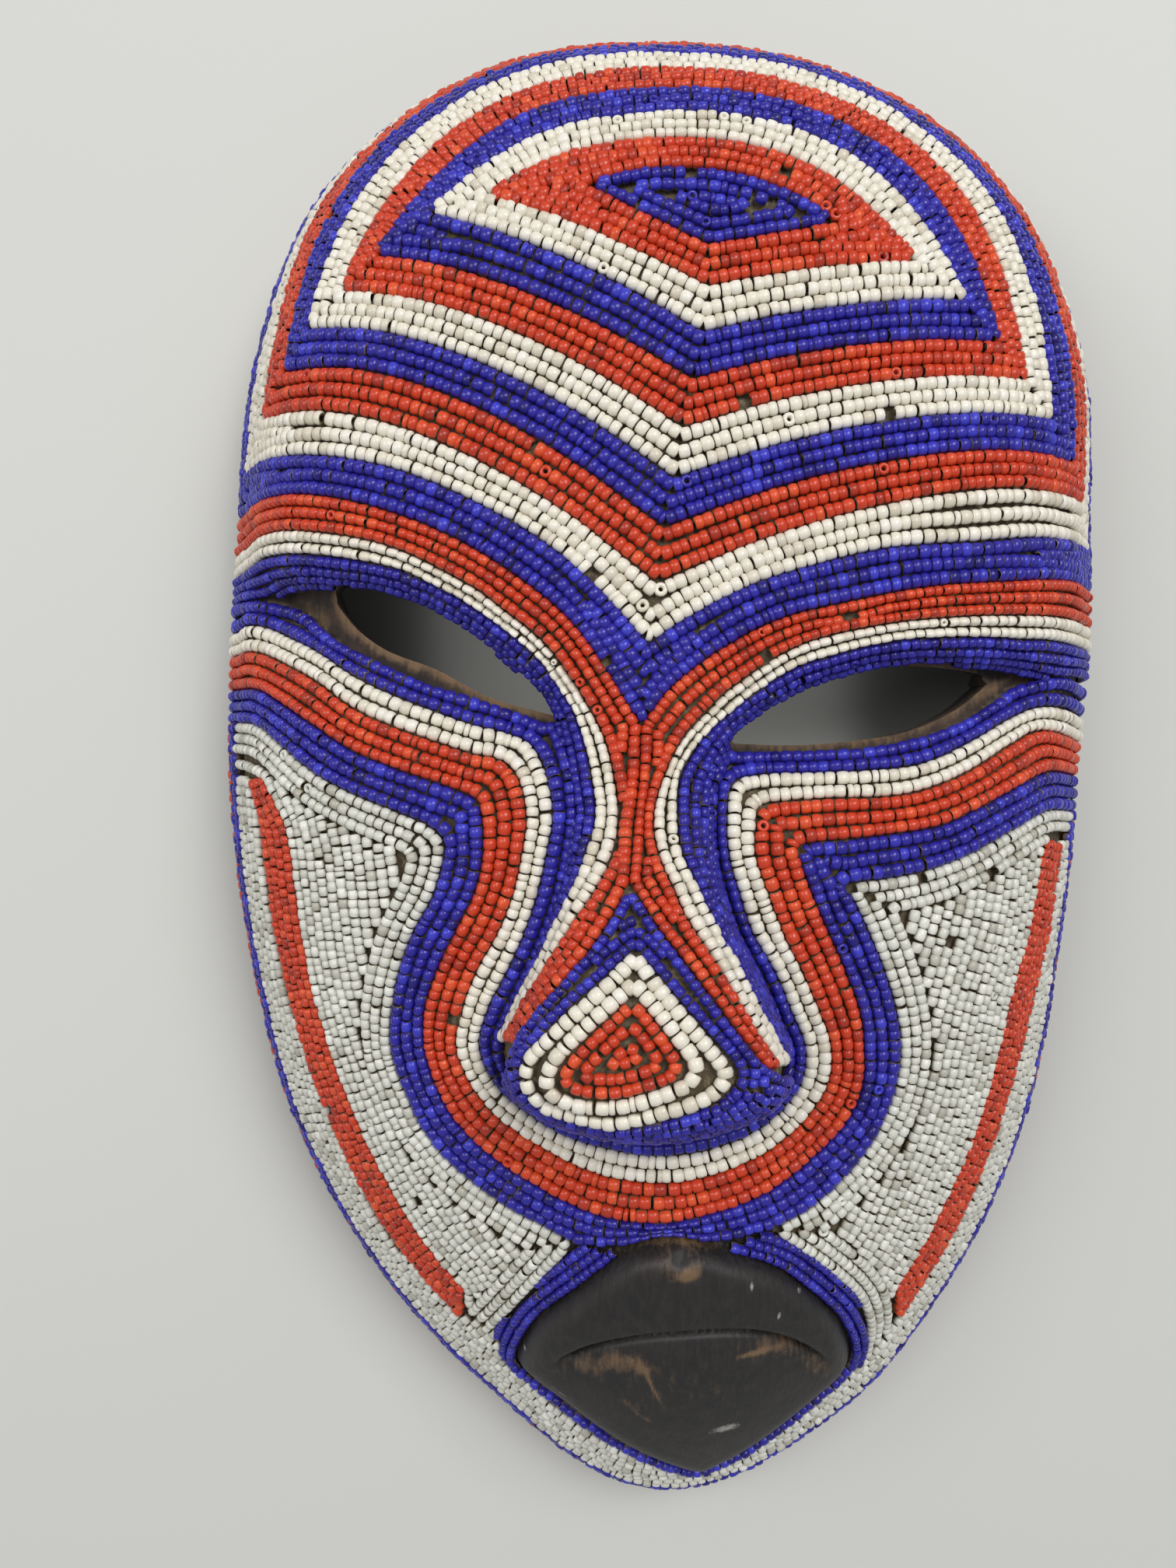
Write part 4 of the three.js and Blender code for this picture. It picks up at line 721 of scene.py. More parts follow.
class Effects:
    """Surface effects that several materials share."""

    def __init__(self) -> None:
        """Builds each group once."""
        self.grime = self._grime()
        self.grain = self._grain()

    @staticmethod
    def _grime() -> bpy.types.NodeTree:
        """Dust, glue and painted shade low between the beads, in patches."""
        group, build, start, end = new_group(
            "grime_between_beads",
            {"Colour": COLOUR, "Grime": COLOUR, "Height": VALUE, "Amount": VALUE,
             "Place": PLACE},
            {"Colour": COLOUR, "Mask": VALUE})
        patch = build.noise(start["Place"], 60.0, 3.0)
        level = build.math("MULTIPLY_ADD", patch, 0.55, start["Amount"])
        low = build.math("SUBTRACT", level, start["Height"])
        mask = build.ramp(low, -0.12, 0.22)
        build.tree.links.new(build.mix(mask, start["Colour"], start["Grime"]), end["Colour"])
        build.tree.links.new(mask, end["Mask"])
        return group

    @staticmethod
    def _grain() -> bpy.types.NodeTree:
        """Wood grain: long fibres along the mask, with pores and knife marks."""
        group, build, start, end = new_group(
            "carved_grain", {"Place": PLACE},
            {"Fibre": VALUE, "Blotch": VALUE, "Scratch": VALUE})
        long = build.node("ShaderNodeMapping", {
            "Vector": start["Place"], "Scale": (1.0, 0.11, 0.6)}).outputs[0]
        fibre = build.noise(long, 900.0, 4.0, 0.6)
        blotch = build.noise(start["Place"], 55.0, 4.0, 0.6)
        skewed = build.node("ShaderNodeMapping", {
            "Vector": start["Place"], "Rotation": (0.0, 0.0, 0.7),
            "Scale": (1.0, 0.07, 1.0)}).outputs[0]
        nick = build.noise(skewed, 1500.0, 1.0)
        build.tree.links.new(fibre, end["Fibre"])
        build.tree.links.new(blotch, end["Blotch"])
        build.tree.links.new(build.ramp(nick, 0.76, 0.79), end["Scratch"])
        return group


@dataclass(frozen=True)
class GlassFinish:
    """Opaque bead glass of one colour, and how much its beads differ.

    A bead's tone runs from 0 to 1: below the first mark it turns deep, above the second pale.
    """

    name: str
    slot: str
    deep: tuple
    main: tuple
    pale: tuple
    deep_below: float = 0.22
    pale_above: float = 0.7
    streak: float = 0.25
    streak_marks: tuple = (0.4, 0.75)
    streak_scale: float = 700.0
    # The grime colour is dust and glue, and also painted shade on the low sides and ends of beads.
    grime: tuple = (0.15, 0.112, 0.060, 1)
    grime_and_shade_level: float = -0.02
    grime_and_shade_by_wear: float = 0.3
    roughness: float = 0.2
    grime_and_shade_roughness: float = 0.45
    cloud_roughness: float = 0.16
    cloud_scale: float = 350.0
    bump: float = 0.25
    pit_depth: float = 0.0003
    pit_scale: float = 900.0
    bending: float = 1.43

    def make(self, effects: Effects) -> bpy.types.Material:
        """Builds the material.

        Args:
            effects: the shared groups.

        Returns:
            The material, which reads a bead's tone, wear and height from the layer "shade".
        """
        material, build, place = new_material(self.name)
        shade = build.node("ShaderNodeVertexColor", layer_name="shade").outputs["Color"]
        tone, wear, height = build.node("ShaderNodeSeparateColor", {0: shade}).outputs
        colour = build.mix(build.ramp(tone, 0.0, self.deep_below), self.deep, self.main)
        colour = build.mix(build.ramp(tone, self.pale_above, 1.0), colour, self.pale)
        streak = build.ramp(build.noise(place, self.streak_scale), *self.streak_marks)
        colour = build.mix(build.math("MULTIPLY", streak, self.streak), colour, self.deep)
        # Grime and painted shade: the lower a point sits on its bead, the more grime colour it
        # gets.
        level = build.math("MULTIPLY_ADD", wear, self.grime_and_shade_by_wear, self.grime_and_shade_level)
        dirty_and_shaded = build.node("ShaderNodeGroup", {
            "Colour": colour, "Grime": self.grime, "Height": height, "Amount": level,
            "Place": place}, node_tree=effects.grime)
        rough = build.math("MULTIPLY_ADD", dirty_and_shaded.outputs["Mask"], self.grime_and_shade_roughness,
                           self.roughness)
        rough = build.math("MULTIPLY_ADD", build.noise(place, self.cloud_scale),
                           self.cloud_roughness, rough)
        pits = build.node("ShaderNodeBump", {
            "Strength": self.bump, "Distance": self.pit_depth,
            "Height": build.noise(place, self.pit_scale)})
        shader = build.node("ShaderNodeBsdfPrincipled", {
            "Base Color": dirty_and_shaded.outputs["Colour"], "Roughness": rough,
            "Normal": pits.outputs[0], "IOR": self.bending})
        build.node("ShaderNodeOutputMaterial", {0: shader.outputs[0]})
        return material


class Glass(Enum):
    """The bead colours of the mask."""

    RED = GlassFinish("red_glass", "red_beads", (0.35, 0.030, 0.014, 1),
                      (0.55, 0.047, 0.015, 1), (0.68, 0.085, 0.025, 1))
    BLUE = GlassFinish("blue_glass", "blue_beads", (0.014, 0.010, 0.15, 1),
                       (0.026, 0.020, 0.29, 1), (0.048, 0.048, 0.50, 1))
    WHITE = GlassFinish("white_glass", "white_beads", (0.60, 0.54, 0.43, 1),
                        (0.75, 0.70, 0.59, 1), (0.79, 0.75, 0.66, 1))
    GREY = GlassFinish("greyed_white_glass", "grey_beads", (0.42, 0.40, 0.33, 1),
                       (0.62, 0.61, 0.54, 1), (0.74, 0.73, 0.66, 1), grime_and_shade_level=0.04)


@dataclass(frozen=True)
class WoodFinish:
    """Dark handled wood, raw where it is worn, with the glue bed under the beads.

    Each pair of marks says where a patch starts to show and where it shows in full.
    """

    dark: tuple = (0.010, 0.006, 0.005, 1)
    brown: tuple = (0.050, 0.028, 0.016, 1)
    lips: tuple = (0.0110, 0.0096, 0.0088, 1)
    lips_rubbed: tuple = (0.0220, 0.0185, 0.0155, 1)
    worn: tuple = (0.155, 0.092, 0.046, 1)
    glue: tuple = (0.085, 0.062, 0.034, 1)
    dust: tuple = (0.24, 0.19, 0.11, 1)
    chalk: tuple = (0.30, 0.28, 0.25, 1)
    blotch_marks: tuple = (0.42, 0.72)
    fibre_marks: tuple = (0.5, 0.75)
    fibre_share: float = 0.4
    rubbed_marks: tuple = (0.42, 0.62)
    lip_share: float = 0.9
    worn_patches: float = 1.8
    worn_marks: tuple = (1.15, 1.95)
    chalk_patches: float = 0.9
    chalk_marks: tuple = (0.75, 1.25)
    nick_marks: tuple = (0.5, 0.62)
    nick_share: float = 0.35
    dust_marks: tuple = (0.45, 0.7)
    roughness: float = 0.72
    polish: float = -0.24
    fibre_roughness: float = 0.15
    relief: float = 0.5
    relief_depth: float = 0.0009

    def make(self, effects: Effects) -> bpy.types.Material:
        """Builds the material.

        Args:
            effects: the shared groups.

        Returns:
            The material, which reads glue, wear, lip polish and chalk from the layer "shade".
        """
        material, build, place = new_material("carved_wood")
        shade = build.node("ShaderNodeVertexColor", layer_name="shade").outputs
        glued, worn, polished = build.node("ShaderNodeSeparateColor",
                                           {0: shade["Color"]}).outputs
        grain = build.node("ShaderNodeGroup", {"Place": place}, node_tree=effects.grain)
        fibre, blotch, scratch = grain.outputs
        colour = build.mix(build.ramp(blotch, *self.blotch_marks), self.dark, self.brown)
        fibres = build.math("MULTIPLY", build.ramp(fibre, *self.fibre_marks), self.fibre_share)
        colour = build.mix(fibres, colour, self.brown)
        mottle = build.noise(place, 260.0, 5.0, 0.7)
        patch = build.math("MULTIPLY_ADD", fibre, 0.5, build.math("MULTIPLY", mottle, 0.5))
        lips = build.mix(build.ramp(patch, *self.rubbed_marks), self.lips, self.lips_rubbed)
        colour = build.mix(build.math("MULTIPLY", polished, self.lip_share), colour, lips)
        rub = build.math("MULTIPLY_ADD", patch, self.worn_patches, worn)
        colour = build.mix(build.ramp(rub, *self.worn_marks), colour, self.worn)
        powder = build.noise(place, 900.0, 3.0, 0.7)
        dusty = build.math("MULTIPLY_ADD", powder, self.chalk_patches, shade["Alpha"])
        colour = build.mix(build.ramp(dusty, *self.chalk_marks), colour, self.chalk)
        nicks = build.math("MULTIPLY", scratch, build.ramp(blotch, *self.nick_marks))
        colour = build.mix(build.math("MULTIPLY", nicks, self.nick_share), colour, self.chalk)
        crumbs = build.noise(place, 420.0, 4.0, 0.7)
        bed = build.mix(build.ramp(crumbs, *self.dust_marks), self.glue, self.dust)
        colour = build.mix(glued, colour, bed)
        rough = build.math("MULTIPLY_ADD", polished, self.polish, self.roughness)
        rough = build.math("MULTIPLY_ADD", fibre, self.fibre_roughness, rough)
        relief = build.math("MULTIPLY_ADD", blotch, 0.8, build.math("MULTIPLY", fibre, 0.5))
        bump = build.node("ShaderNodeBump", {
            "Strength": self.relief, "Distance": self.relief_depth, "Height": relief})
        shader = build.node("ShaderNodeBsdfPrincipled", {
            "Base Color": colour, "Roughness": rough, "Normal": bump.outputs[0]})
        build.node("ShaderNodeOutputMaterial", {0: shader.outputs[0]})
        return material


# Beads


@dataclass(frozen=True)
class Bead:
    """The shape of one bead: a short barrel on its thread, only its exposed side.

    A few beads stand on end and show their hole; they are a whole fat ring.
    """

    profile: tuple = ((-0.5, 0.62), (-0.39, 0.93), (0.0, 1.02), (0.39, 0.93), (0.5, 0.62))
    sides: int = 7
    open_turn: float = math.radians(240)
    ring_profile: tuple = ((0.92, -0.3), (1.0, 0.1), (0.9, 0.45), (0.62, 0.6), (0.36, 0.45),
                           (0.3, -0.3))
    ring_sides: int = 12

    def template(self) -> tuple[Array, Array]:
        """Corners as (along, across, up) in units of length and radius, and the faces."""
        turns = (np.arange(self.sides + 1) / self.sides - 0.5) * self.open_turn
        rings = [np.column_stack([np.full_like(turns, x), r * np.sin(turns),
                                  r * np.cos(turns)]) for x, r in self.profile]
        count = self.sides + 1
        faces = [[r * count + i, r * count + i + 1, (r + 1) * count + i + 1, (r + 1) * count + i]
                 for r in range(len(rings) - 1) for i in range(self.sides)]
        return np.vstack(rings), np.array(faces)

    def ring_template(self) -> tuple[Array, Array]:
        """A bead turned to show its hole: a fat ring about the up axis."""
        sides = self.ring_sides
        turns = np.arange(sides) / sides * TURN
        rings = [np.column_stack([r * np.cos(turns), r * np.sin(turns),
                                  np.full_like(turns, z)]) for r, z in self.ring_profile]
        faces = [[r * sides + i, r * sides + (i + 1) % sides,
                  (r + 1) * sides + (i + 1) % sides, (r + 1) * sides + i]
                 for r in range(len(rings) - 1) for i in range(sides)]
        return np.vstack(rings), np.array(faces)


@dataclass(frozen=True)
class Threading:
    """How unevenly the beads are threaded.

    The fields that start with "loose" say how much a loosely filled band adds.
    """

    lengths: tuple = (0.84, 1.16)  # shares of the usual length
    thin_share: float = 0.05  # share of the beads that are much shorter
    thin_length: float = 0.55  # what is left of their length
    gap_share: float = 0.003  # share of the beads with a gap behind them
    gap: tuple = (0.2, 0.7)
    snug: tuple = (0.0, 0.07)  # the gap behind any other bead
    stretch: tuple = (0.85, 1.15)  # how far a row may be drawn out to fill its course
    missing: float = 0.0006  # share of the beads that are lost
    loose_missing: float = 0.1
    look_ahead: float = 0.9  # distance to either side over which a bead's way is measured
    tilt: float = 0.065
    loose_tilt: float = 0.25
    widest: float = 1.12  # share of the usual pitch
    half_width: float = 0.497  # share of the row pitch
    widths: tuple = (0.94, 1.03)
    heights: tuple = (0.94, 1.05)
    lift: float = 0.12  # how unevenly the beads stand on the wood
    on_end: float = 0.004  # share of the beads that show their hole
    loose_on_end: float = 0.05
    # Painted shade: a low "height" draws grime colour onto the sides and ends of a bead.
    shade_foot: float = 0.45  # the value "height" at the thread
    shade_rise: float = 0.55  # how much it grows to the top of a bead
    hole_place: float = 0.45  # share of the length, from the middle, where the ends begin
    hole_shade: float = 0.45  # what is left of "height" there


class Lay(Enum):
    """How the rows of a band are laid."""

    EVEN = "even"  # evenly spread between the two courses
    NEAR = "near"  # each a pitch from the last, starting at the near course
    FAR = "far"  # each a pitch from the last, starting at the far course
    GUARDED = "guarded"  # a few rows along the near course, the rest from the far one


Row = tuple[Array, Array]  # points in the plane, and the row pitch at each


@dataclass
class Band:
    """Rows of beads of one colour between two courses of the pattern.

    Attributes:
        name: the name of the solid that the band stands for.
        glass: its colour.
        near, far: the two courses, which run the same way.
        closed: whether they are closed.
        matched: whether their points lie straight across from each other already.
        pointed: whether a closed band keeps the corner where its courses start.
        lay: how its rows are laid.
        rows: their number, or None where the width gives it.
        most: the most rows side by side.
        pitch: distance between two rows.
        length: a bead's length as a share of the pitch.
        loose: how loosely the band is filled, from 0 to 1.
        clear: room kept before the other course, as a share of the pitch.
        guard_rows: rows along the near course where the lay is guarded.
        threading: how unevenly the beads are threaded.
        bead_radius: half the thickness of a bead.
        shortest: the shortest piece of a row that is threaded.
        widest: how far rows may spread before one more is laid, as a share of the pitch.
        stations: places across the band at which its width is measured.
        calm_width, calm_pitch: points over which the width and the row pitch are evened out.
        probe: distance over which the slope beside a line is measured.
        keep_off: how near a moved line may come to the last, as a share of its move.
        fewest: the fewest points that still make a line.
    """

    name: str
    glass: Glass
    near: Array
    far: Array
    closed: bool = False
    matched: bool = False
    pointed: bool = False
    lay: Lay = Lay.EVEN
    rows: Optional[int] = None
    most: int = 99
    pitch: float = 3.0
    length: float = 0.86
    loose: float = 0.0
    clear: float = 0.4
    guard_rows: int = 3
    threading: Threading = Threading()
    bead_radius: float = 1.45
    shortest: float = 2.4
    widest: float = 1.17
    stations: int = 15
    calm_width: int = 6
    calm_pitch: int = 8
    probe: float = 0.5
    keep_off: float = 0.93
    fewest: int = 4

    def pair(self) -> tuple[Array, Array]:
        """Matches the two courses straight across the band.

        Returns:
            Matched points of the near and the far course.
        """
        if self.matched:
            return self.near, self.far
        run = [run_of(self.near), run_of(self.far)]
        ends = [run[0][-1], run[1][-1]]
        on_far = nearest(self.far, self.near)[1]
        on_near = nearest(self.near, self.far)[1]
        if self.closed:
            on_far += ends[1] * np.round(run[0] / ends[0] - on_far / ends[1])
            on_near += ends[0] * np.round(run[1] / ends[1] - on_near / ends[0])
        else:
            on_far[[0, -1]] = [0, ends[1]]
            on_near[[0, -1]] = [0, ends[0]]
        a = np.concatenate([run[0], on_near])
        b = np.concatenate([on_far, run[1]])
        order = np.argsort(a / ends[0] + b / ends[1], kind="stable")
        a, b = (calm(np.maximum.accumulate(v[order]), 4) for v in (a, b))
        if self.closed:
            a, b = a % ends[0], b % ends[1]
        return along(self.near, run[0], a), along(self.far, run[1], b)

    def across(self, form: Form) -> tuple[Array, Array, Array, Array]:
        """Measures the way across the band on the carving.

        Args:
            form: the carving.

        Returns:
            Near points, far points, distances run across at even shares, and the shares.
        """
        near, far = self.pair()
        shares = np.linspace(0, 1, self.stations)
        grid = near[:, None] + (far - near)[:, None] * shares[None, :, None]
        lifted = form.lift(grid.reshape(-1, 2)).reshape(len(near), len(shares), 3)
        steps = np.linalg.norm(np.diff(lifted, axis=1), axis=2)
        run = np.concatenate([np.zeros((len(near), 1)), np.cumsum(steps, axis=1)], axis=1)
        return near, far, run, shares

    def even_rows(self, form: Form) -> list[Row]:
        """Rows evenly spread over the width; where it narrows, the middle ones end.

        Args:
            form: the carving.

        Returns:
            Each row's points in the plane, and the row pitch at them.
        """
        near, far, run, shares = self.across(form)
        width = run[:, -1]
        calmed = calm(width, self.calm_width, self.closed)
        if self.rows:
            counts = np.maximum(self.rows, np.floor(calmed / (self.widest * self.pitch)))
        else:
            counts = np.clip(np.round(calmed / self.pitch), 1, self.most)
        pitch = calm(width / counts, self.calm_pitch, self.closed)
        found = []
        for r in range(int(counts.max())):
            from_far, k = divmod(r, 2)[::-1]
            offset = (k + 0.5) * pitch
            if from_far:
                offset = width - offset
            share = np.array([np.interp(o, way, shares) for o, way in zip(offset, run)])
            points = near + (far - near) * share[:, None]
            found += self.stretches(points, pitch, counts > r)
        return found

    def march(self, form: Form, line: Array, step: float, turn: int) -> Array:
        """Moves a line sideways over the carving.

        Args:
            form: the carving.
            line: the line's points in the plane.
            step: how far it moves, measured on the carving.
            turn: 1 to move it to its left, -1 to its right.

        Returns:
            The moved line, without the loops it would make in narrow places.
        """
        ahead = np.gradient(line, axis=0)
        if self.closed:
            ahead[[0, -1]] = line[1] - line[-2]
        out = np.column_stack([-ahead[:, 1], ahead[:, 0]]) * turn
        out /= np.maximum(np.linalg.norm(out, axis=1), TINY)[:, None]
        beside = form.lift(line + out * self.probe) - form.lift(line)
        rise = np.linalg.norm(beside, axis=1) / self.probe
        reach = step / calm(np.maximum(rise, 1), 3, self.closed)
        moved = line + out * reach[:, None]
        moved = moved[distance_to(line, moved) > self.keep_off * reach]
        if len(moved) < self.fewest:
            return moved
        if self.closed:
            moved = np.vstack([moved, moved[:1]])
        moved = stepped(moved, max(self.fewest, round(run_of(moved)[-1])))
        looped = self.closed and not self.pointed
        return np.column_stack([calm(moved[:, k], 1, looped) for k in (0, 1)])

    def half_pitch(self, form: Form, line: Array, turn: int) -> Array:
        """Moves a line sideways by half a pitch, in two short moves."""
        for _ in (0, 1):
            line = self.march(form, line, self.pitch / 4, turn)
            if len(line) < self.fewest:
                break
        return line

    def marched_rows(self, form: Form, line: Array, fence: Array, limit: int = 60
                     ) -> tuple[list[Row], Array]:
        """Rows each a pitch from the last, until they meet the other course.

        Args:
            form: the carving.
            line: the course they start at.
            fence: the course they end at.
            limit: the most rows to lay.

        Returns:
            The rows, and the line a half pitch past the last one.
        """
        start = line
        middle = len(line) // 2
        ahead = line[middle + 1] - line[middle - 1]
        aside = 0.8
        side = line[middle] + np.array([-ahead[1], ahead[0]]) / np.linalg.norm(ahead) * aside
        turn = 1 if self.within(start, fence, side[None])[0] else -1
        found = []
        for _ in range(limit):
            last = line
            line = self.half_pitch(form, line, turn)
            if len(line) < self.fewest:
                return found + self.core(last), line
            if start is fence:
                inside = np.ones(len(line), bool)
            else:
                away = distance_to(fence, line, self.closed)
                closing = np.clip(np.gradient(away) / np.gradient(run_of(line)), -1, 1)
                room = self.clear * self.pitch * (1 - closing ** 2)
                inside = self.within(start, fence, line) & (away > room)
            if not inside.any():
                break
            found += self.stretches(line, np.full(len(line), self.pitch), inside)
            line = self.half_pitch(form, line, turn)
            if len(line) < self.fewest:
                break
        return found, line

    def within(self, start: Array, fence: Array, points: Array) -> Array:
        """Whether each point lies between two courses."""
        if not self.closed:
            return is_inside(np.vstack([start, fence[::-1]]), points)
        if start is fence:
            return is_inside(start, points)
        return is_inside(start, points) ^ is_inside(fence, points)

    def core(self, line: Array) -> list[Row]:
        """The short straight row that fills the middle of a closed field.

        Args:
            line: the last closed line round the part that is left.

        Returns:
            The row, or nothing where no bead fits or the band isn't closed.
        """
        if not self.closed:
            return []
        middle = line.mean(0)
        way = np.linalg.svd(line - middle)[2][0]
        reach = (line - middle) @ way
        margin, least, count = 0.2 * self.pitch, 0.5 * self.pitch, 6
        ends = [reach.min() + margin, reach.max() - margin]
        if ends[1] - ends[0] < least:
            return []
        points = middle + np.linspace(*ends, count)[:, None] * way
        return [(points, np.full(len(points), self.pitch))]

    def row_lines(self, form: Form) -> list[Row]:
        """The lines that the rows of beads follow, with the row pitch along them."""
        if self.lay is Lay.EVEN:
            return self.even_rows(form)
        if self.lay is Lay.NEAR:
            return self.marched_rows(form, self.near, self.far)[0]
        if self.lay is Lay.FAR:
            return self.marched_rows(form, self.far, self.near)[0]
        guard, fence = self.marched_rows(form, self.near, self.far, self.guard_rows)
        return guard + self.marched_rows(form, self.far, fence)[0]

    def stretches(self, points: Array, pitch: Array, keep: Array) -> list[Row]:
        """Cuts a row wherever it stops, and leaves out what is too short to thread.

        Args:
            points: the row's points in the plane.
            pitch: the row pitch at each.
            keep: whether the row is laid at each.

        Returns:
            The rows that are left.
        """
        change = np.diff(keep.astype(int)) != 0
        marks = [0, *(np.nonzero(change)[0] + 1).tolist(), len(points)]
        found = []
        for low, high in zip(marks, marks[1:]):
            if not keep[low]:
                continue
            part = slice(max(low - 1, 0), high + 1)
            if run_of(points[part])[-1] > self.shortest:
                found.append((points[part], pitch[part]))
        return found

    def lay_beads(self, form: Form) -> dict[str, Array]:
        """Threads beads onto every row, the same ones each time.

        Args:
            form: the carving.

        Returns:
            Arrays over the beads: place, ahead (the way the row runs there), pitch and length.
        """
        hand = self.threading
        random = np.random.default_rng(sum(ord(c) * (k + 7) for k, c in enumerate(self.name)))
        found = {"place": [], "ahead": [], "pitch": [], "length": []}
        for points, pitch in self.row_lines(form):
            run = run_of(form.lift(points))
            total = run[-1]
            count = int(total / (self.pitch * 0.3)) + 4  # more than enough for the row
            lengths = self.pitch * self.length * random.uniform(*hand.lengths, count)
            thin = random.random(count) < hand.thin_share
            lengths[thin] *= hand.thin_length
            gaps = np.where(random.random(count) < hand.gap_share + self.loose,
                            random.uniform(*hand.gap, count), random.uniform(*hand.snug, count))
            ends = np.cumsum(lengths + gaps)
            last = 1 + int(np.abs(ends - total).argmin())
            stretch = min(max(total / ends[last - 1], hand.stretch[0]), hand.stretch[1])
            middle = (ends[:last] - gaps[:last] - lengths[:last] / 2) * stretch
            keep = random.random(last) > hand.missing + hand.loose_missing * self.loose
            keep &= middle < total
            middle = middle[keep]
            after = along(points, run, np.minimum(middle + hand.look_ahead, total))
            before = along(points, run, np.maximum(middle - hand.look_ahead, 0))
            found["place"].append(along(points, run, middle))
            found["ahead"].append(after - before)
            found["pitch"].append(np.interp(middle, run, pitch))
            found["length"].append((lengths[:last] * stretch)[keep])
        return {key: np.concatenate(value) for key, value in found.items()}

    def build(self, form: Form) -> bpy.types.Object:
        """Makes the band's mesh.

        Args:
            form: the carving.

        Returns:
            The object, not dressed yet.
        """
        hand = self.threading
        beads = self.lay_beads(form)
        place, step = beads["place"], beads["ahead"]
        count = len(place)
        random = np.random.default_rng(count + len(self.name))
        up = form.normal(place)
        ahead = form.lift(place + step / 2) - form.lift(place - step / 2)
        ahead -= (ahead * up).sum(1)[:, None] * up
        tilt = random.normal(0, hand.tilt + hand.loose_tilt * self.loose, (count, 3))
        ahead += tilt * np.linalg.norm(ahead, axis=1)[:, None]
        ahead /= np.maximum(np.linalg.norm(ahead, axis=1), TINY)[:, None]
        up -= (ahead * up).sum(1)[:, None] * ahead
        up /= np.linalg.norm(up, axis=1)[:, None]
        side = np.cross(ahead, up)
        tone = random.random(count)
        wear = random.random(count)
        wide = np.minimum(beads["pitch"], self.pitch * hand.widest) * hand.half_width
        wide *= random.uniform(*hand.widths, count)
        tall = self.bead_radius * random.uniform(*hand.heights, count)
        base = form.lift(place) + up * (tall + random.normal(0, hand.lift, count))[:, None]
        turned = random.random(count) < hand.on_end + hand.loose_on_end * self.loose
        parts, first = [], 0
        for is_ring in (False, True):
            chosen = turned if is_ring else ~turned
            if not chosen.any():
                continue
            corners, faces = Bead().ring_template() if is_ring else Bead().template()
            long = wide[chosen] if is_ring else beads["length"][chosen]
            spread = (corners[None, :, 0, None] * (ahead[chosen] * long[:, None])[:, None]
                      + corners[None, :, 1, None] * (side[chosen] * wide[chosen, None])[:, None]
                      + corners[None, :, 2, None] * (up[chosen] * tall[chosen, None])[:, None])
            points = base[chosen][:, None] + spread
            # Painted shade and grime gather where "height" is low: the sides and ends of a bead.
            height = np.clip(corners[:, 2] * hand.shade_rise + hand.shade_foot, 0, 1)
            if not is_ring:
                at_hole = np.abs(corners[:, 0]) > hand.hole_place
                height *= np.where(at_hole, hand.hole_shade, 1)
            shade = np.stack(np.broadcast_arrays(
                tone[chosen][:, None], wear[chosen][:, None], height[None]), axis=2)
            shift = first + np.arange(len(points))[:, None, None] * len(corners)
            first += len(points) * len(corners)
            parts.append((points.reshape(-1, 3), shade.reshape(-1, 3),
                          (faces[None] + shift).reshape(-1, 4)))
        points, shade, faces = (np.vstack(part) for part in zip(*parts))
        return make_object(f"beads_{self.name}", points * MM, faces[:, ::-1], shade=shade)


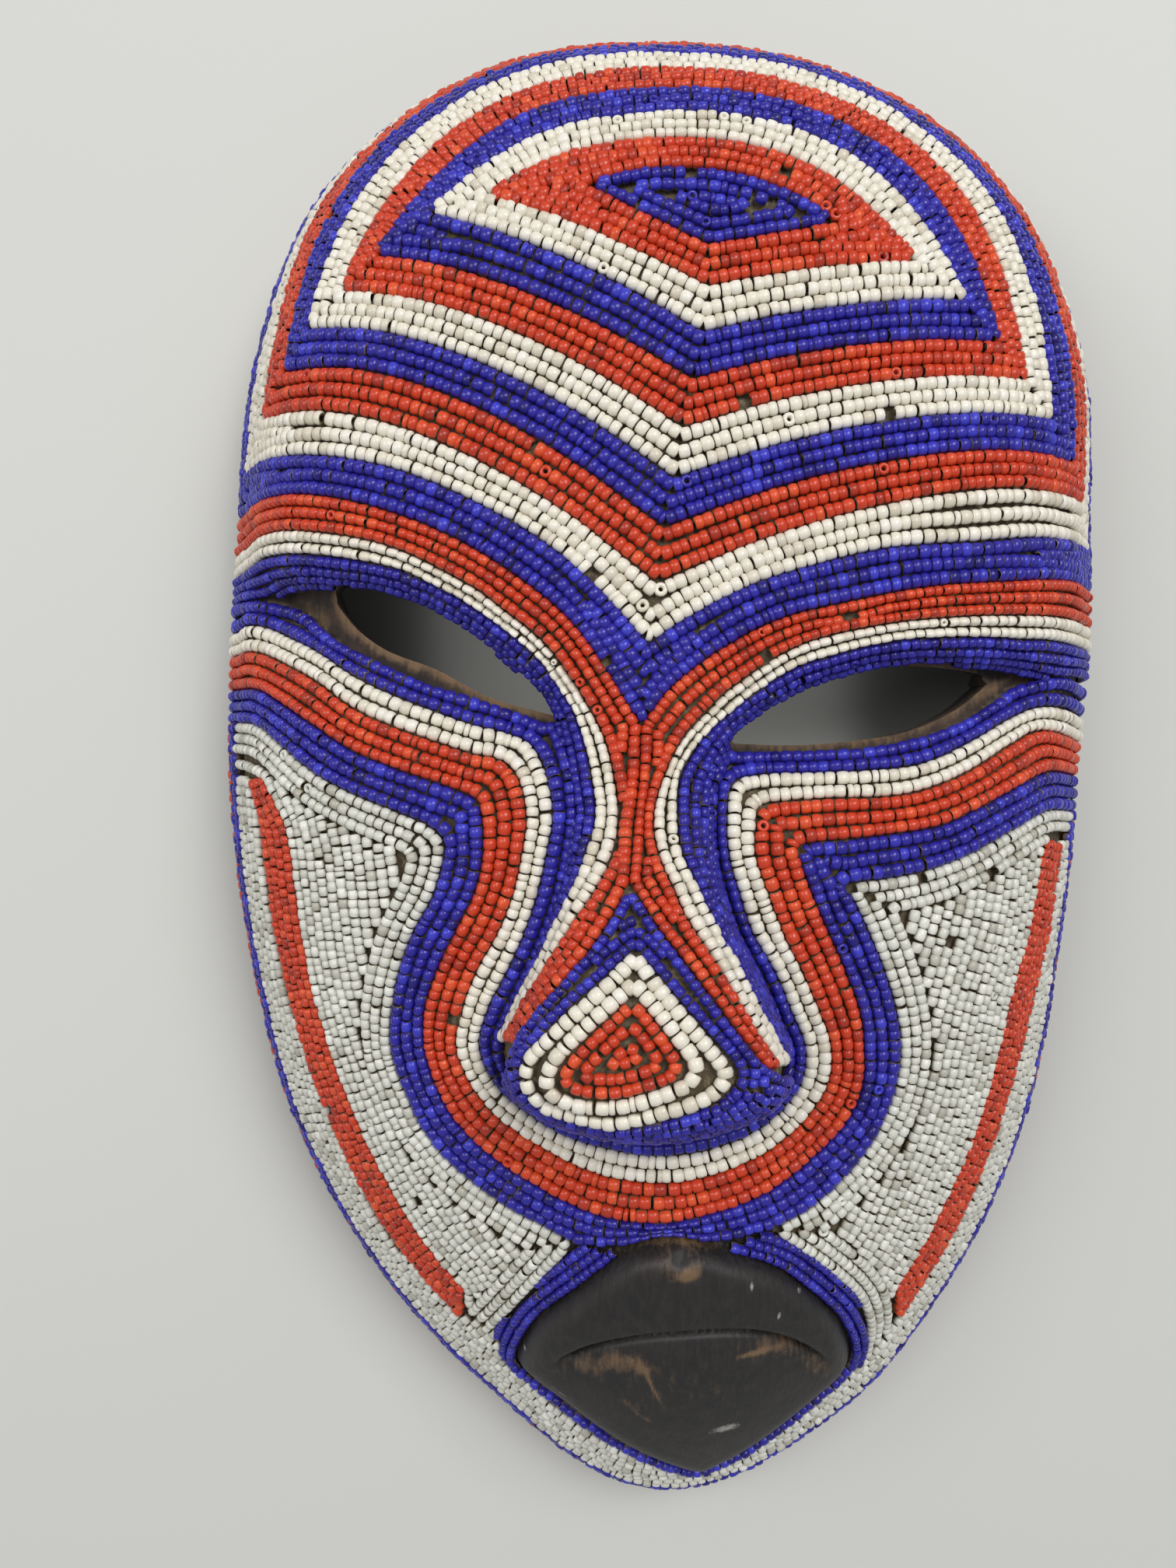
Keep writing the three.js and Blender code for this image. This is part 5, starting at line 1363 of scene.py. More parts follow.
@dataclass(frozen=True)
class Beadwork:
    """All the bands of beads, in the places of the solids that stand for them.

    Attributes:
        form: the carving that they lie on.
        row: the usual distance between two rows.
        blue_drop, red_drop, white_drop: rows from the outline down the side wall to where each
            colour of the brow turns up.
        left_arch, right_arch: how much more an arm of a chevron arches than the one inside it.
        left_red_pitch, right_red_pitch: distance between the rows of each red brow.
        ring_steps: points of a ring round the crown and along each arm of its chevron.
        arc_steps: points at which an arc round the mask is worked out.
        nose_steps: points of the closed courses at the tip of the nose.
        left_mouth_end, right_mouth_end: how far the border of the mouth reaches along the upper
            lip, as a share of the step past the third and the eighth point.
    """

    form: Form
    row: float = 3.0
    blue_drop: int = 3
    red_drop: int = 6
    white_drop: int = 8
    left_arch: float = 1.3
    right_arch: float = 0.85
    left_red_pitch: float = 2.8
    right_red_pitch: float = 2.5
    ring_steps: tuple = (220, 90, 90)
    arc_steps: int = 49
    nose_steps: int = 120
    left_mouth_end: float = 0.9
    right_mouth_end: float = 0.8

    def corner(self, end: Point, drop: int) -> list[float]:
        """Where a course of the brow turns upward on the side wall, some rows below its end."""
        return self.form.down_side(end, drop * self.row)

    def crown_arc(self, left: Point, right: Point, arc: Optional[Sequence[float]] = None,
                  beyond: float = 0.0) -> Array:
        """Part of a ring round the crown.

        Args:
            left: where it starts.
            right: where it ends.
            arc: shares of the outline at its quarters, or None for the outline itself.
            beyond: how far beyond the outline it lies.

        Returns:
            The arc's points.
        """
        angle, distance = self.form.polar(np.array([left, right], float))
        if arc:
            ends = distance / self.form.radius(angle)
            marks = np.array([ends[0], *arc, ends[1]])
        else:
            marks = np.ones(5)
        place = np.linspace(0, 4, self.arc_steps)
        k = np.minimum(3, place.astype(int))
        near = [marks[np.clip(k + d, 0, 4)] for d in (-1, 0, 1, 2)]
        share = cubic(*near, place - k)
        turn = angle[0] + (angle[1] - angle[0]) * place / 4
        return paced(self.form.on_rim(turn, share, beyond))

    def arm(self, start: Point, end: Point, arch: float) -> Array:
        """One arm of a chevron, slightly arched upward."""
        t = np.linspace(0, 1, 5)[:, None]
        line = np.asarray(start) + (np.asarray(end, float) - start) * t
        line[:, 1] += (arch * 4 * t * (1 - t))[:, 0]
        return join(line)

    def ring_courses(self) -> list[Array]:
        """The closed courses of the forehead, from the lens outward.

        Each runs round the crown and back along the two arms of its chevron, in the same number
        of steps, so that the corners of one course meet those of the next.
        """
        lines = []
        for k, ring in enumerate(RINGS):
            lines.append((self.crown_arc(ring.left, ring.right, ring.arc),
                          self.arm(ring.right, ring.point, self.right_arch * k),
                          self.arm(ring.point, ring.left, self.left_arch * k)))
        lines.append((self.crown_arc(WHITE_BROW_LEFT[0], WHITE_BROW_RIGHT[-1]),
                      join(WHITE_BROW_RIGHT)[::-1], join(WHITE_BROW_LEFT)[::-1]))
        left = self.corner(BLUE_BROW_LEFT[0], self.blue_drop)
        right = self.corner(BLUE_BROW_RIGHT[-1], self.blue_drop)
        lines.append((self.crown_arc(left, right, beyond=self.blue_drop * self.row),
                      join([*BLUE_BROW_RIGHT, right])[::-1], join([left, *BLUE_BROW_LEFT])[::-1]))
        return [np.vstack([stepped(part, count)[1 if i else 0:]
                           for i, (part, count) in enumerate(zip(line, self.ring_steps))])
                for line in lines]

    def forehead(self) -> list[Band]:
        """The lens and the nested rings round it."""
        lines = self.ring_courses()
        bands = [Band("blue_lens", Glass.BLUE, lines[0], lines[0], closed=True, lay=Lay.NEAR,
                      pitch=2.85, loose=0.04)]
        colours = [Glass.RED, Glass.WHITE, Glass.BLUE] * 3
        for k, glass in enumerate(colours):
            name = f"{glass.name.lower()}_ring_{k // 3 + 1}"
            bands.append(Band(name, glass, lines[k + 1], lines[k], closed=True, matched=True,
                              rows=3, length=0.84 if glass is Glass.WHITE else 0.78))
        return bands

    def crown_edge(self) -> list[Band]:
        """The two bands on the side wall round the crown."""
        arcs = [self.crown_arc(self.corner(left, drop), self.corner(right, drop),
                               beyond=drop * self.row)
                for left, right, drop in (
                    (BLUE_BROW_LEFT[0], BLUE_BROW_RIGHT[-1], self.blue_drop),
                    (RED_BROW_LEFT[0], RED_BROW_RIGHT[0], self.red_drop),
                    (WHITE_EYE_LEFT[0], WHITE_EYE_RIGHT[0], self.white_drop))]
        return [Band("red_crown_edge", Glass.RED, arcs[0], arcs[1], rows=3),
                Band("white_crown_edge", Glass.WHITE, arcs[1], arcs[2], rows=2)]

    def brows(self) -> list[Band]:
        """The bands over the eyes that run on down the sides of the nose."""
        bands = []
        for side, red_pitch, blue, ridge, red, white, foot in (
                ("left", self.left_red_pitch, BLUE_BROW_LEFT, NOSE_BLUE_LEFT, RED_BROW_LEFT,
                 WHITE_EYE_LEFT, (FOOT_BROW_LEFT, FOOT_NOSE_LEFT)),
                ("right", self.right_red_pitch, BLUE_BROW_RIGHT[::-1], NOSE_BLUE_RIGHT,
                 RED_BROW_RIGHT, WHITE_EYE_RIGHT,
                 (FOOT_BROW_RIGHT[::-1], FOOT_NOSE_RIGHT[::-1]))):
            lines = [
                join([self.corner(blue[0], self.blue_drop), *blue], NOSE_RIDGE, ridge),
                join([self.corner(red[0], self.red_drop), *red]),
                join([self.corner(white[0], self.white_drop), *white]),
                join(self.form.side_run(foot[0][0]), *foot),
            ]
            bands += [
                Band(f"red_brow_{side}", Glass.RED, lines[0], lines[1], most=3,
                     pitch=red_pitch),
                Band(f"white_brow_{side}", Glass.WHITE, lines[1], lines[2], rows=2),
                Band(f"blue_brow_{side}", Glass.BLUE, lines[2], lines[3], lay=Lay.NEAR,
                     pitch=2.6, clear=0.12),
            ]
        return bands

    def cheek_bands(self) -> list[Band]:
        """The four bands that cross the face under the eyes and round the nose."""

        def across(*stretches: Sequence[Point]) -> Array:
            """A course right across the face, down to the lowest beads at both sides."""
            left = self.form.side_run(stretches[0][0])
            right = self.form.side_run(stretches[-1][-1])
            return join(left, *stretches, right[::-1])

        lid = across([FOOT_BROW_LEFT[0], *LID_LEFT, FOOT_NOSE_LEFT[0]], FOOT_NOSE_LEFT,
                     FOOT_NOSE_BOTTOM, FOOT_NOSE_RIGHT,
                     [FOOT_NOSE_RIGHT[-1], *LID_RIGHT, *FOOT_BROW_RIGHT[-2:]])
        lines = [lid, across(BLUE_CHEEK), across(WHITE_CHEEK), across(RED_CHEEK),
                 across(BLUE_JAW_LEFT, BLUE_JAW_MIDDLE, BLUE_JAW_RIGHT)]
        kinds = (("blue_cheek_band", Glass.BLUE, 2), ("white_cheek_band", Glass.WHITE, 2),
                 ("red_cheek_band", Glass.RED, 3), ("blue_jaw_band", Glass.BLUE, 3))
        return [Band(name, glass, above, below, rows=rows)
                for (name, glass, rows), above, below in zip(kinds, lines, lines[1:])]

    def cheeks(self) -> list[Band]:
        """The greyed fields of the cheeks and the red stripe on each."""
        fields, stripes = [], []
        for side, inner, top, stripe, end, stripe_out in (
                ("left", (BLUE_JAW_LEFT, MOUTH_BAND_LEFT), CHEEK_TOP_LEFT, STRIPE_LEFT_IN,
                 CHEEK_END_LEFT, STRIPE_LEFT_OUT),
                ("right", (BLUE_JAW_RIGHT[::-1], MOUTH_BAND_RIGHT), CHEEK_TOP_RIGHT,
                 STRIPE_RIGHT_IN, CHEEK_END_RIGHT, STRIPE_RIGHT_OUT)):
            outer = join([*top, stripe[0]], stripe, [stripe[-1], *end])
            fields.append(Band(f"grey_cheek_{side}", Glass.GREY, join(*inner), outer,
                               lay=Lay.GUARDED, pitch=2.75, clear=0.28))
            stripes.append(Band(f"red_stripe_{side}", Glass.RED, join(stripe),
                                join(stripe_out), pitch=2.8))
        return fields + stripes

    def mouth_band(self) -> list[Band]:
        """The blue border of the mouth, open where the upper lip meets the band above it."""
        mouth = np.asarray(MOUTH, float)
        left = mouth[2] + (mouth[3] - mouth[2]) * self.left_mouth_end
        right = mouth[7] + (mouth[6] - mouth[7]) * self.right_mouth_end
        wood = join([left, *mouth[:3][::-1], *mouth[7:][::-1], right])
        outer = join(MOUTH_BAND_LEFT, MOUTH_BAND_UNDER, MOUTH_BAND_RIGHT[::-1])
        return [Band("blue_mouth_band", Glass.BLUE, wood, outer, lay=Lay.NEAR, pitch=2.5,
                     clear=0.05)]

    def lower_edge(self) -> list[Band]:
        """White up to the edge below the cheeks, then blue and a red fringe."""

        def sweep(left: Point, right: Point, beyond: float) -> Array:
            """A course round the chin, at a distance beyond the outline."""
            angle, _ = self.form.polar(np.array([left, right], float))
            first = angle[0] - TURN if angle[0] > 0 else angle[0]
            turn = np.linspace(first, angle[1], self.arc_steps)
            return join(self.form.on_rim(turn, 1.0, beyond))

        inner = join(STRIPE_LEFT_OUT, [STRIPE_LEFT_OUT[-1], MOUTH_BAND_UNDER[0]],
                     MOUTH_BAND_UNDER, [MOUTH_BAND_UNDER[-1], STRIPE_RIGHT_OUT[-1]],
                     STRIPE_RIGHT_OUT[::-1])
        ends = (BLUE_JAW_LEFT[0], BLUE_JAW_RIGHT[-1])
        rails = [sweep(*ends, rows * self.row) for rows in (0, 2, 5)]
        return [Band("white_edge", Glass.GREY, inner,
                     sweep(WHITE_EDGE_LEFT, WHITE_EDGE_RIGHT, 0), lay=Lay.FAR, pitch=2.8,
                     clear=0.12),
                Band("blue_edge", Glass.BLUE, rails[0], rails[1], rows=2),
                Band("red_edge", Glass.RED, rails[1], rails[2], rows=3, loose=0.03)]

    def nose(self) -> list[Band]:
        """The tip of the nose, down to its wings and underside."""
        left, right = NOSE_BLUE_LEFT[-1], NOSE_BLUE_RIGHT[-1]
        outer = join(NOSE_BLUE_LEFT, [left, FOOT_NOSE_BOTTOM[0]], FOOT_NOSE_BOTTOM,
                     [FOOT_NOSE_BOTTOM[-1], right], NOSE_BLUE_RIGHT[::-1])
        white, red = (stepped(join([*line, line[0]]), self.nose_steps)
                      for line in (NOSE_WHITE, NOSE_RED))
        return [Band("blue_nose_band", Glass.BLUE, outer, white, closed=True, pointed=True,
                     lay=Lay.GUARDED, guard_rows=1, pitch=2.4, clear=0.05),
                Band("white_nose_band", Glass.WHITE, white, red, closed=True, matched=True,
                     pitch=3.1, most=2),
                Band("red_nose_field", Glass.RED, red, red, closed=True, lay=Lay.NEAR,
                     pitch=2.7, loose=0.1)]

    def build(self, effects: Effects) -> int:
        """Makes and dresses every band.

        Args:
            effects: the shared surface effects.

        Returns:
            The number of triangles made.
        """
        glass = {kind: kind.value.make(effects) for kind in Glass}
        total = 0
        groups = (self.forehead, self.crown_edge, self.brows, self.cheek_bands, self.cheeks,
                  self.mouth_band, self.lower_edge, self.nose)
        for band in (band for group in groups for band in group()):
            piece = band.build(self.form)
            piece.data.materials.append(glass[band.glass])
            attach(piece, "root")
            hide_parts(band.name)
            triangles = 2 * len(piece.data.polygons)
            total += triangles
            log.info("%s: %d triangles", piece.name, triangles)
        return total


# The carving itself


@dataclass(frozen=True)
class Mark:
    """A soft-edged mark on the wood, longer one way than the other; turn is in degrees."""

    place: Point
    half_length: float
    half_width: float
    turn: float = 0.0
    strength: float = 1.0

    def weight(self, points: Array) -> Array:
        """How strongly it shows at each point of the plane."""
        away = points - np.asarray(self.place)
        turn = math.radians(self.turn)
        ahead = away @ np.array([math.cos(turn), math.sin(turn)])
        aside = away @ np.array([-math.sin(turn), math.cos(turn)])
        return self.strength * np.exp(-(ahead / self.half_length) ** 2
                                      - (aside / self.half_width) ** 2)


# The knot in the upper lip, rubbed spots, and spots of chalk
KNOT = Mark((2.0, -111.6), 4.2, 3.2)
WORN_MARKS = (
    Mark((-19, -143), 8, 3.2, 14, 0.55),
    Mark((-9, -141), 7, 3, -12, 0.55),
    Mark((26, -137.5), 9, 3.2, -12, 0.6),
    Mark((37.5, -146), 6, 3, -42, 0.55),
    Mark((20.4, -138.6), 4.5, 0.7, 8, 0.9),
    Mark((-4, -147.2), 6.2, 0.5, -68, 0.75),
    Mark((-5, -158.5), 5, 0.5, -40, 0.65),
    Mark((-9, -154), 3.5, 1.2, -30, 0.5),
    Mark((3.3, -115.4), 3.4, 1.5, 20, 0.95),
    Mark((4, -148), 26, 9, 0, 0.22),
    Mark((-87, 40.6), 8, 3, -36, 0.6),
    Mark((81, 22.6), 5, 1.6, 30, 0.7),
)
CHALK_MARKS = (
    Mark((14.9, -162.5), 4.6, 1.5, 12, 0.8),
    Mark((29, -165), 2, 1.2, 0, 0.3),
    Mark((18.8, -119), 1.3, 0.45, 90, 1.0),
    Mark((25.9, -127.9), 1.3, 0.45, 90, 0.9),
    Mark((31.1, -123.2), 0.9, 0.45, -40, 0.9),
    Mark((4.4, -170.5), 0.9, 0.4, 90, 0.7),
    Mark((-35.6, -144.8), 0.9, 0.4, 90, 0.9),
    Mark((-26.5, -154.7), 4.2, 0.5, -33, 0.55),
)


@dataclass(frozen=True)
class Carving:
    """The wooden mask: outside, flat rim, hollow and eye slits.

    Attributes:
        form: its shape.
        spokes: corners of each ring of the mesh.
        face_rings, shoulder_rings, side_rings, hollow_rings: rings over each part of it.
        face_start: the first ring of the face, as a share of the way out.
        face_spread: how much closer together the rings lie near the outline, where above 1.
        wall, roof: thickness of the wood at the side and over the hollow.
        lean: how far the side wall stands out beyond the edge of the face.
        wall_shares: the rings up the inside of the wall, as shares of its height.
        hollow_shares: the first and last ring over the roof, as shares of the way out.
        eye_roof, eye_reach: how much of a socket shows in the hollow, and how far it reaches.
        adze_depth, adze_start: half the depth of the adze marks in the hollow, and the height
            by which it is full.
        bed: depth of the glue bed under the beads.
        slit_top, slit_bottom: heights between which an eye slit is cut.
        slit_bend, slit_flare: the height below which it widens, and by how much.
        lip_cuts: cuts made in each edge of the mesh over the mouth.
        skin, face_skin: how far a point may be from the face and still be shaped as part of
            the mouth, or coloured as the face.
        side_share: share of the way out from which the side wall starts.
        knot_pit, knot_ridge: depth of the knot in the upper lip, and height of its ridge.
        left_wear, right_wear: how worn each eye slit is, from 0 to 1.
        slit_wear, wear_start, wear_full: how far from a slit the wear reaches, and the heights
            at which it starts and is full.
        rim_wear, rim_reach: how worn the rim of the mouth is, and how far that reaches.
        foot_wear, foot_reach: the same for the foot of the side wall.
        foot_share: share of the way out from which that foot starts.
        sharpest: degrees between two faces from which their edge is drawn sharp.
    """

    form: Form
    spokes: int = 432
    face_rings: int = 88
    face_start: float = 0.012
    face_spread: float = 1.08
    shoulder_rings: int = 8
    side_rings: int = 5
    wall: float = 11
    lean: float = 3.9
    roof: float = 12
    eye_roof: float = 0.8
    eye_reach: float = 20
    wall_shares: tuple = (0.0, 0.35, 0.7, 1.0)
    hollow_rings: int = 26
    hollow_shares: tuple = (0.965, 0.02)
    adze_depth: float = 0.5
    adze_start: float = 18
    bed: float = 0.25
    slit_top: float = 100
    slit_bend: float = 64
    slit_bottom: float = 30
    slit_flare: float = 4
    lip_cuts: int = 3
    skin: float = 3
    face_skin: float = 2.5
    side_share: float = 0.99
    knot_pit: float = 0.9
    knot_ridge: float = 0.5
    left_wear: float = 1.0
    right_wear: float = 0.7
    slit_wear: float = 2.4
    wear_start: float = 48
    wear_full: float = 62
    rim_wear: float = 0.45
    rim_reach: float = 0.9
    foot_wear: float = 0.25
    foot_reach: float = 4
    foot_share: float = 0.9
    sharpest: float = 50

    def outside(self) -> Array:
        """Rings of corners from the middle of the face out and down to the table."""
        angle = np.arange(self.spokes) / self.spokes * TURN
        steps = np.linspace(self.face_start, 1, self.face_rings)
        shares = 1 - (1 - steps) ** self.face_spread
        turn = self.form.shoulder_turn
        rings = [self.form.on_rim(angle, share) for share in shares]
        rings += [self.form.on_rim(angle, 1.0, beyond)
                  for beyond in np.linspace(PACE, turn, self.shoulder_rings)]
        low = self.form.beyond_for(angle, 0.0)
        rings += [self.form.on_rim(angle, 1.0, turn + (low - turn) * t)
                  for t in np.linspace(1 / self.side_rings, 1, self.side_rings)]
        flat = np.vstack(rings)
        points = self.form.lift(flat)
        points -= self.form.normal(flat) * self.bed
        points[-self.spokes:, 2] = 0
        return points

    def hollow(self) -> Array:
        """Rings of corners from the rim up into the hollow.

        The marks of the adze are crossed waves, each bent by a slower one.
        """
        angle = np.arange(self.spokes) / self.spokes * TURN
        ray = np.column_stack([np.cos(angle), np.sin(angle)])
        middle = np.asarray(self.form.middle)
        reach = self.form.radius(angle) - self.wall + self.lean
        edge = middle + ray * self.form.radius(angle)[:, None]
        base = self.height(edge, middle + ray * reach[:, None])
        rings = [np.column_stack([middle + ray * reach[:, None], base * t])
                 for t in self.wall_shares]
        for share in np.linspace(*self.hollow_shares, self.hollow_rings):
            flat = middle + ray * (reach * share)[:, None]
            stretched = middle + ray * (self.form.radius(angle) * share)[:, None]
            rings.append(np.column_stack([flat, self.height(stretched, flat)]))
        points = np.vstack(rings)
        x, y = points[:, 0], points[:, 1]
        marks = np.sin(x / 7.5 + 2.2 * np.sin(y / 31)) * np.sin(y / 11 + 1.7 * np.sin(x / 23))
        points[:, 2] += self.adze_depth * marks * smooth(points[:, 2] / self.adze_start)
        return points

    def height(self, stretched: Array, flat: Array) -> Array:
        """Height of the hollow's roof."""
        vault, _ = self.form.vault(stretched)
        return vault - self.roof - self.form.socket(flat, self.eye_reach) * self.eye_roof

    def quads(self, rings: int, first: int, inward: bool) -> Array:
        """Faces between successive rings of corners."""
        i = np.arange(self.spokes)
        n = (i + 1) % self.spokes
        faces = []
        for r in range(rings - 1):
            a, b = first + r * self.spokes, first + (r + 1) * self.spokes
            quad = [a + i, a + n, b + n, b + i]
            faces.append(np.column_stack(quad if inward else quad[::-1]))
        return np.vstack(faces)

    def body(self) -> bpy.types.Object:
        """The closed carving before its eyes are cut."""
        outside, inside = self.outside(), self.hollow()
        rings = len(outside) // self.spokes
        inner = len(inside) // self.spokes
        points = np.vstack([outside, inside])
        faces = self.quads(rings, 0, False)
        joint = self.quads(2, (rings - 1) * self.spokes, False)
        below = self.quads(inner, rings * self.spokes, False)
        top = points[:self.spokes].mean(0)
        roof = points[-self.spokes:].mean(0)
        points = np.vstack([points, top, roof])
        i = np.arange(self.spokes)
        n = (i + 1) % self.spokes
        last = (rings + inner - 1) * self.spokes
        cap = np.column_stack([np.full(self.spokes, len(points) - 2), i, n])
        pit = np.column_stack([np.full(self.spokes, len(points) - 1), last + n, last + i])
        quads = np.vstack([faces, joint, below])
        mesh = bpy.data.meshes.new("carving")
        mesh.from_pydata((points * MM).tolist(), [],
                         [*quads.tolist(), *cap.tolist(), *pit.tolist()])
        mesh.update()
        return show("carved_mask", mesh)

    def bare(self) -> Array:
        """The outline of the bare wood at the mouth, as far as the bands round it."""
        return join(MOUTH_BAND_LEFT, MOUTH_BAND_UNDER, MOUTH_BAND_RIGHT[::-1],
                    BLUE_JAW_MIDDLE[::-1])

    def on_bare(self, points: Array) -> Array:
        """Whether each point in space lies on the bare wood at the mouth."""
        flat = points[:, :2]
        at_face = np.abs(points[:, 2] - self.form.front(flat)) < self.skin
        return is_inside(self.bare(), flat) & at_face

    def knot_relief(self, flat: Array) -> Array:
        """How far the ridge and the pit of the knot stand from the lip."""
        knot = KNOT.weight(flat)
        return 4 * self.knot_ridge * knot * (1 - knot) - self.knot_pit * knot ** 2

    def refine_lips(self, mesh: bpy.types.Mesh) -> None:
        """Splits the faces over the mouth and lays the new corners on the carved lips."""
        grid = bmesh.new()
        grid.from_mesh(mesh)
        grid.faces.ensure_lookup_table()
        centres = np.array([face.calc_center_median() for face in grid.faces]) / MM
        chosen = [grid.faces[i] for i in np.nonzero(self.on_bare(centres))[0]]
        edges = list({edge for face in chosen for edge in face.edges})
        bmesh.ops.subdivide_edges(grid, edges=edges, cuts=self.lip_cuts, use_grid_fill=True)
        grid.verts.ensure_lookup_table()
        places = np.array([corner.co for corner in grid.verts]) / MM
        flat = places[:, :2]
        height = self.form.front(flat) + self.knot_relief(flat) - self.bed
        for i in np.nonzero(self.on_bare(places))[0]:
            grid.verts[i].co.z = height[i] * MM
        grid.to_mesh(mesh)
        grid.free()

    def slit(self, edges: dict) -> bpy.types.Object:
        """A solid that cuts one eye slit.

        Args:
            edges: the slit's edge over and under the eye.

        Returns:
            The solid, upright through the face and wider below, toward the brow.
        """
        over, under = (smooth_line(edges[key], steps=3) for key in ("over", "under"))
        front = np.vstack([over, under])
        back = front.copy()
        away = np.column_stack([np.sign(over[:, 0]), np.ones(len(over))])
        back[:len(over)] += away * self.slit_flare
        if over[0, 0] < over[-1, 0]:
            front, back = front[::-1], back[::-1]
        count = len(front)
        levels = [(front, self.slit_top), (front, self.slit_bend), (back, self.slit_bottom)]
        points = np.vstack([np.column_stack([line, np.full(count, z)]) for line, z in levels])
        faces = [list(range(count)), list(range(3 * count - 1, 2 * count - 1, -1))]
        for level in (0, 1):
            for i in range(count):
                n = (i + 1) % count
                faces.append([level * count + n, level * count + i,
                              (level + 1) * count + i, (level + 1) * count + n])
        mesh = bpy.data.meshes.new("slit")
        mesh.from_pydata((points * MM).tolist(), [], faces)
        mesh.update()
        return show("slit", mesh)

    def shade(self, mesh: bpy.types.Mesh) -> Array:
        """Where the wood is glued over, worn raw, polished or chalky.

        Args:
            mesh: the finished carving.

        Returns:
            Four values per corner: glue, wear, polish, chalk.
        """
        places = np.empty(len(mesh.vertices) * 3, np.float32)
        mesh.vertices.foreach_get("co", places)
        p = places.reshape(-1, 3).astype(float) / MM
        flat = p[:, :2]
        angle, distance = self.form.polar(flat)
        share = distance / self.form.radius(angle)
        front = self.form.front(flat)
        is_face = (np.abs(p[:, 2] - front) < self.face_skin) & (share < 1)
        is_side = (share >= self.side_share) & (p[:, 2] > self.form.lowest_beads)
        lips = is_inside(self.bare(), flat) & is_face
        slits = [np.array(slit["over"] + slit["under"]) for slit in (SLIT_LEFT, SLIT_RIGHT)]
        near = np.minimum(*[distance_to(slit, flat, True) for slit in slits])
        eyes = [np.vstack([smooth_line(lid), smooth_line(brow)[::-1]])
                for lid, brow in ((LID_LEFT, FOOT_BROW_LEFT), (LID_RIGHT, FOOT_BROW_RIGHT))]
        bare = np.any([is_inside(eye, flat) for eye in eyes], axis=0)
        glued = (is_face | is_side) & ~lips & ~bare
        rise = smooth((p[:, 2] - self.wear_start) / (self.wear_full - self.wear_start))
        edge = np.where(flat[:, 0] < 0, self.left_wear, self.right_wear)
        worn = np.exp(-(near / self.slit_wear) ** 2) * edge * rise
        rim = distance_to(self.form.mouth, flat, True)
        worn += np.where(lips, self.rim_wear * np.exp(-(rim / self.rim_reach) ** 2), 0)
        knot = KNOT.weight(flat)
        worn += np.where(lips, self.rim_wear * 4 * knot * (1 - knot), 0)
        worn += np.where(is_face, sum(mark.weight(flat) for mark in WORN_MARKS), 0)
        foot = self.foot_wear * np.exp(-(p[:, 2] / self.foot_reach) ** 2)
        worn += np.where(share > self.foot_share, foot, 0)
        chalk = np.where(is_face, sum(mark.weight(flat) for mark in CHALK_MARKS), 0)
        return np.column_stack([glued, np.clip(worn, 0, 1), lips, chalk]).astype(float)

    def build(self, effects: Effects) -> bpy.types.Object:
        """Makes and dresses the carving.

        Args:
            effects: the shared surface effects.

        Returns:
            The piece.
        """
        body = self.body()
        self.refine_lips(body.data)
        for edges in (SLIT_LEFT, SLIT_RIGHT):
            cutter = self.slit(edges)
            cut = body.modifiers.new("slit", "BOOLEAN")
            cut.object = cutter
            cut.solver = "EXACT"
            bpy.context.view_layer.update()
            carved = bpy.data.meshes.new_from_object(
                body.evaluated_get(bpy.context.evaluated_depsgraph_get()))
            body.modifiers.clear()
            body.data = carved
            bpy.data.objects.remove(cutter)
        body.data.polygons.foreach_set("use_smooth", np.ones(len(body.data.polygons), bool))
        set_shade(body.data, self.shade(body.data))
        body.data.set_sharp_from_angle(angle=math.radians(self.sharpest))
        body.data.materials.clear()
        body.data.materials.append(WoodFinish().make(effects))
        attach(body, "root")
        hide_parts("wooden_mask")
        log.info("%s: %d faces", body.name, len(body.data.polygons))
        return body


# Table, light and camera


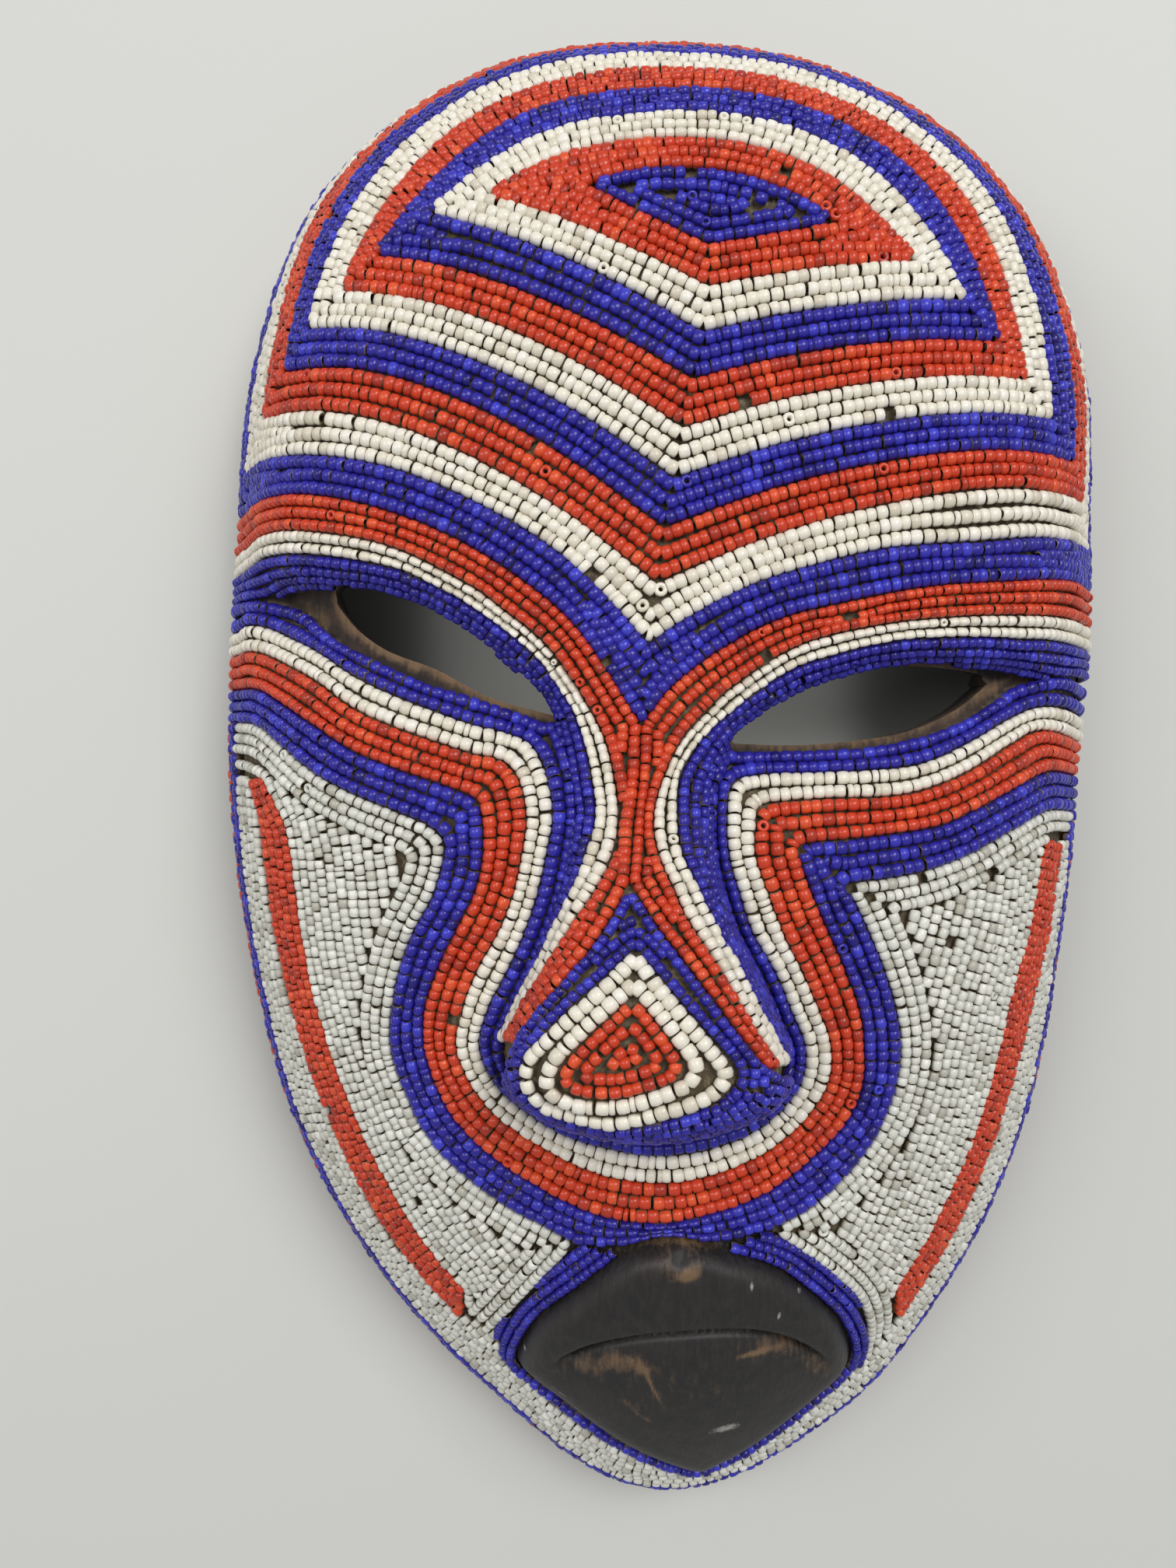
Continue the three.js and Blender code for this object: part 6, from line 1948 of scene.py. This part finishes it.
@dataclass(frozen=True)
class Studio:
    """A pale table, the camera above the mask, two soft lights and a faint one in the hollow.

    Places and sizes are in metres, and powers in watts.
    """

    camera: tuple = (-0.0195, -0.0015, 0.3435)
    lens: float = 26.786
    film: float = 36.0
    table: tuple = (0.605, 0.605, 0.57, 1)
    table_painted_shade: float = 0.96
    table_roughness: float = 0.8
    reach: float = 3
    soft_box: tuple = (0.5, 0.8)
    key: tuple = (0.45, 0.55, 1.25)
    key_power: float = 12.5
    fill: tuple = (-0.75, 0.25, 1.0)
    fill_power: float = 5.2
    hollow: tuple = (-0.004, 0.03, 0.009)
    hollow_size: tuple = (0.122, 0.26)
    hollow_power: float = 0.016
    sky: tuple = (0.93, 0.96, 1.0, 1)
    sky_strength: float = 0.40

    def build(self) -> None:
        """Makes them all."""
        self.make_table()
        self.make_light("key_light", self.key, self.soft_box, self.key_power)
        self.make_light("fill_light", self.fill, self.soft_box, self.fill_power)
        inside = self.make_light("light_under_the_rim", self.hollow, self.hollow_size,
                                 self.hollow_power)
        inside.rotation_euler = (0.0, 0.0, 0.0)
        inside.visible_camera = False
        self.make_world()
        self.make_camera()

    def make_table(self) -> None:
        """A wide pale sheet under the mask, with broad patches of painted shade."""
        corners = self.reach * np.array([[-1, -1, 0], [1, -1, 0], [1, 1, 0], [-1, 1, 0]], float)
        table = make_object("table", corners, np.array([[0, 1, 2, 3]]), False)
        material, build, place = new_material("pale_table")
        # Painted shade: the table is darkened a little in broad patches, standing in for uneven
        # light.
        painted_shade_tone = (*(self.table_painted_shade * c for c in self.table[:3]), 1)
        tint = build.mix(build.noise(place, 3.0), self.table, painted_shade_tone)
        shader = build.node("ShaderNodeBsdfPrincipled", {
            "Base Color": tint, "Roughness": self.table_roughness})
        build.node("ShaderNodeOutputMaterial", {0: shader.outputs[0]})
        table.data.materials.append(material)

    @staticmethod
    def make_light(name: str, place: tuple, size: tuple, power: float) -> bpy.types.Object:
        """A soft box that faces the mask.

        Args:
            name: its name.
            place: where it stands.
            size: its width and height.
            power: its power.

        Returns:
            The light.
        """
        light = bpy.data.lights.new(name, "AREA")
        light.shape = "RECTANGLE"
        light.size, light.size_y = size
        light.energy = power
        obj = show(name, light)
        obj.location = place
        obj.rotation_euler = (-obj.location).to_track_quat("-Z", "Y").to_euler()
        return obj

    def make_world(self) -> None:
        """Even pale light from all round."""
        world = bpy.data.worlds.new("studio")
        world.use_nodes = True
        back = world.node_tree.nodes["Background"]
        back.inputs["Color"].default_value = self.sky
        back.inputs["Strength"].default_value = self.sky_strength
        bpy.context.scene.world = world
        bpy.context.scene.view_settings.view_transform = "Standard"

    def make_camera(self) -> None:
        """The camera, straight above and looking down."""
        data = bpy.data.cameras.new("camera")
        data.lens = self.lens
        data.sensor_width = self.film
        data.clip_start = 0.01
        camera = show("camera", data)
        camera.location = self.camera
        bpy.context.scene.camera = camera


def main() -> None:
    """Builds the mask and its table."""
    logging.basicConfig(level=logging.INFO, format="%(name)s: %(message)s")
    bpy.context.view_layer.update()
    form = Form()
    effects = Effects()
    carving = Carving(form).build(effects)
    triangles = Beadwork(form).build(effects)
    log.info("beads: %d triangles, carving: %d faces", triangles, len(carving.data.polygons))
    Studio().build()
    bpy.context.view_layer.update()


if __name__ == "__main__":
    main()
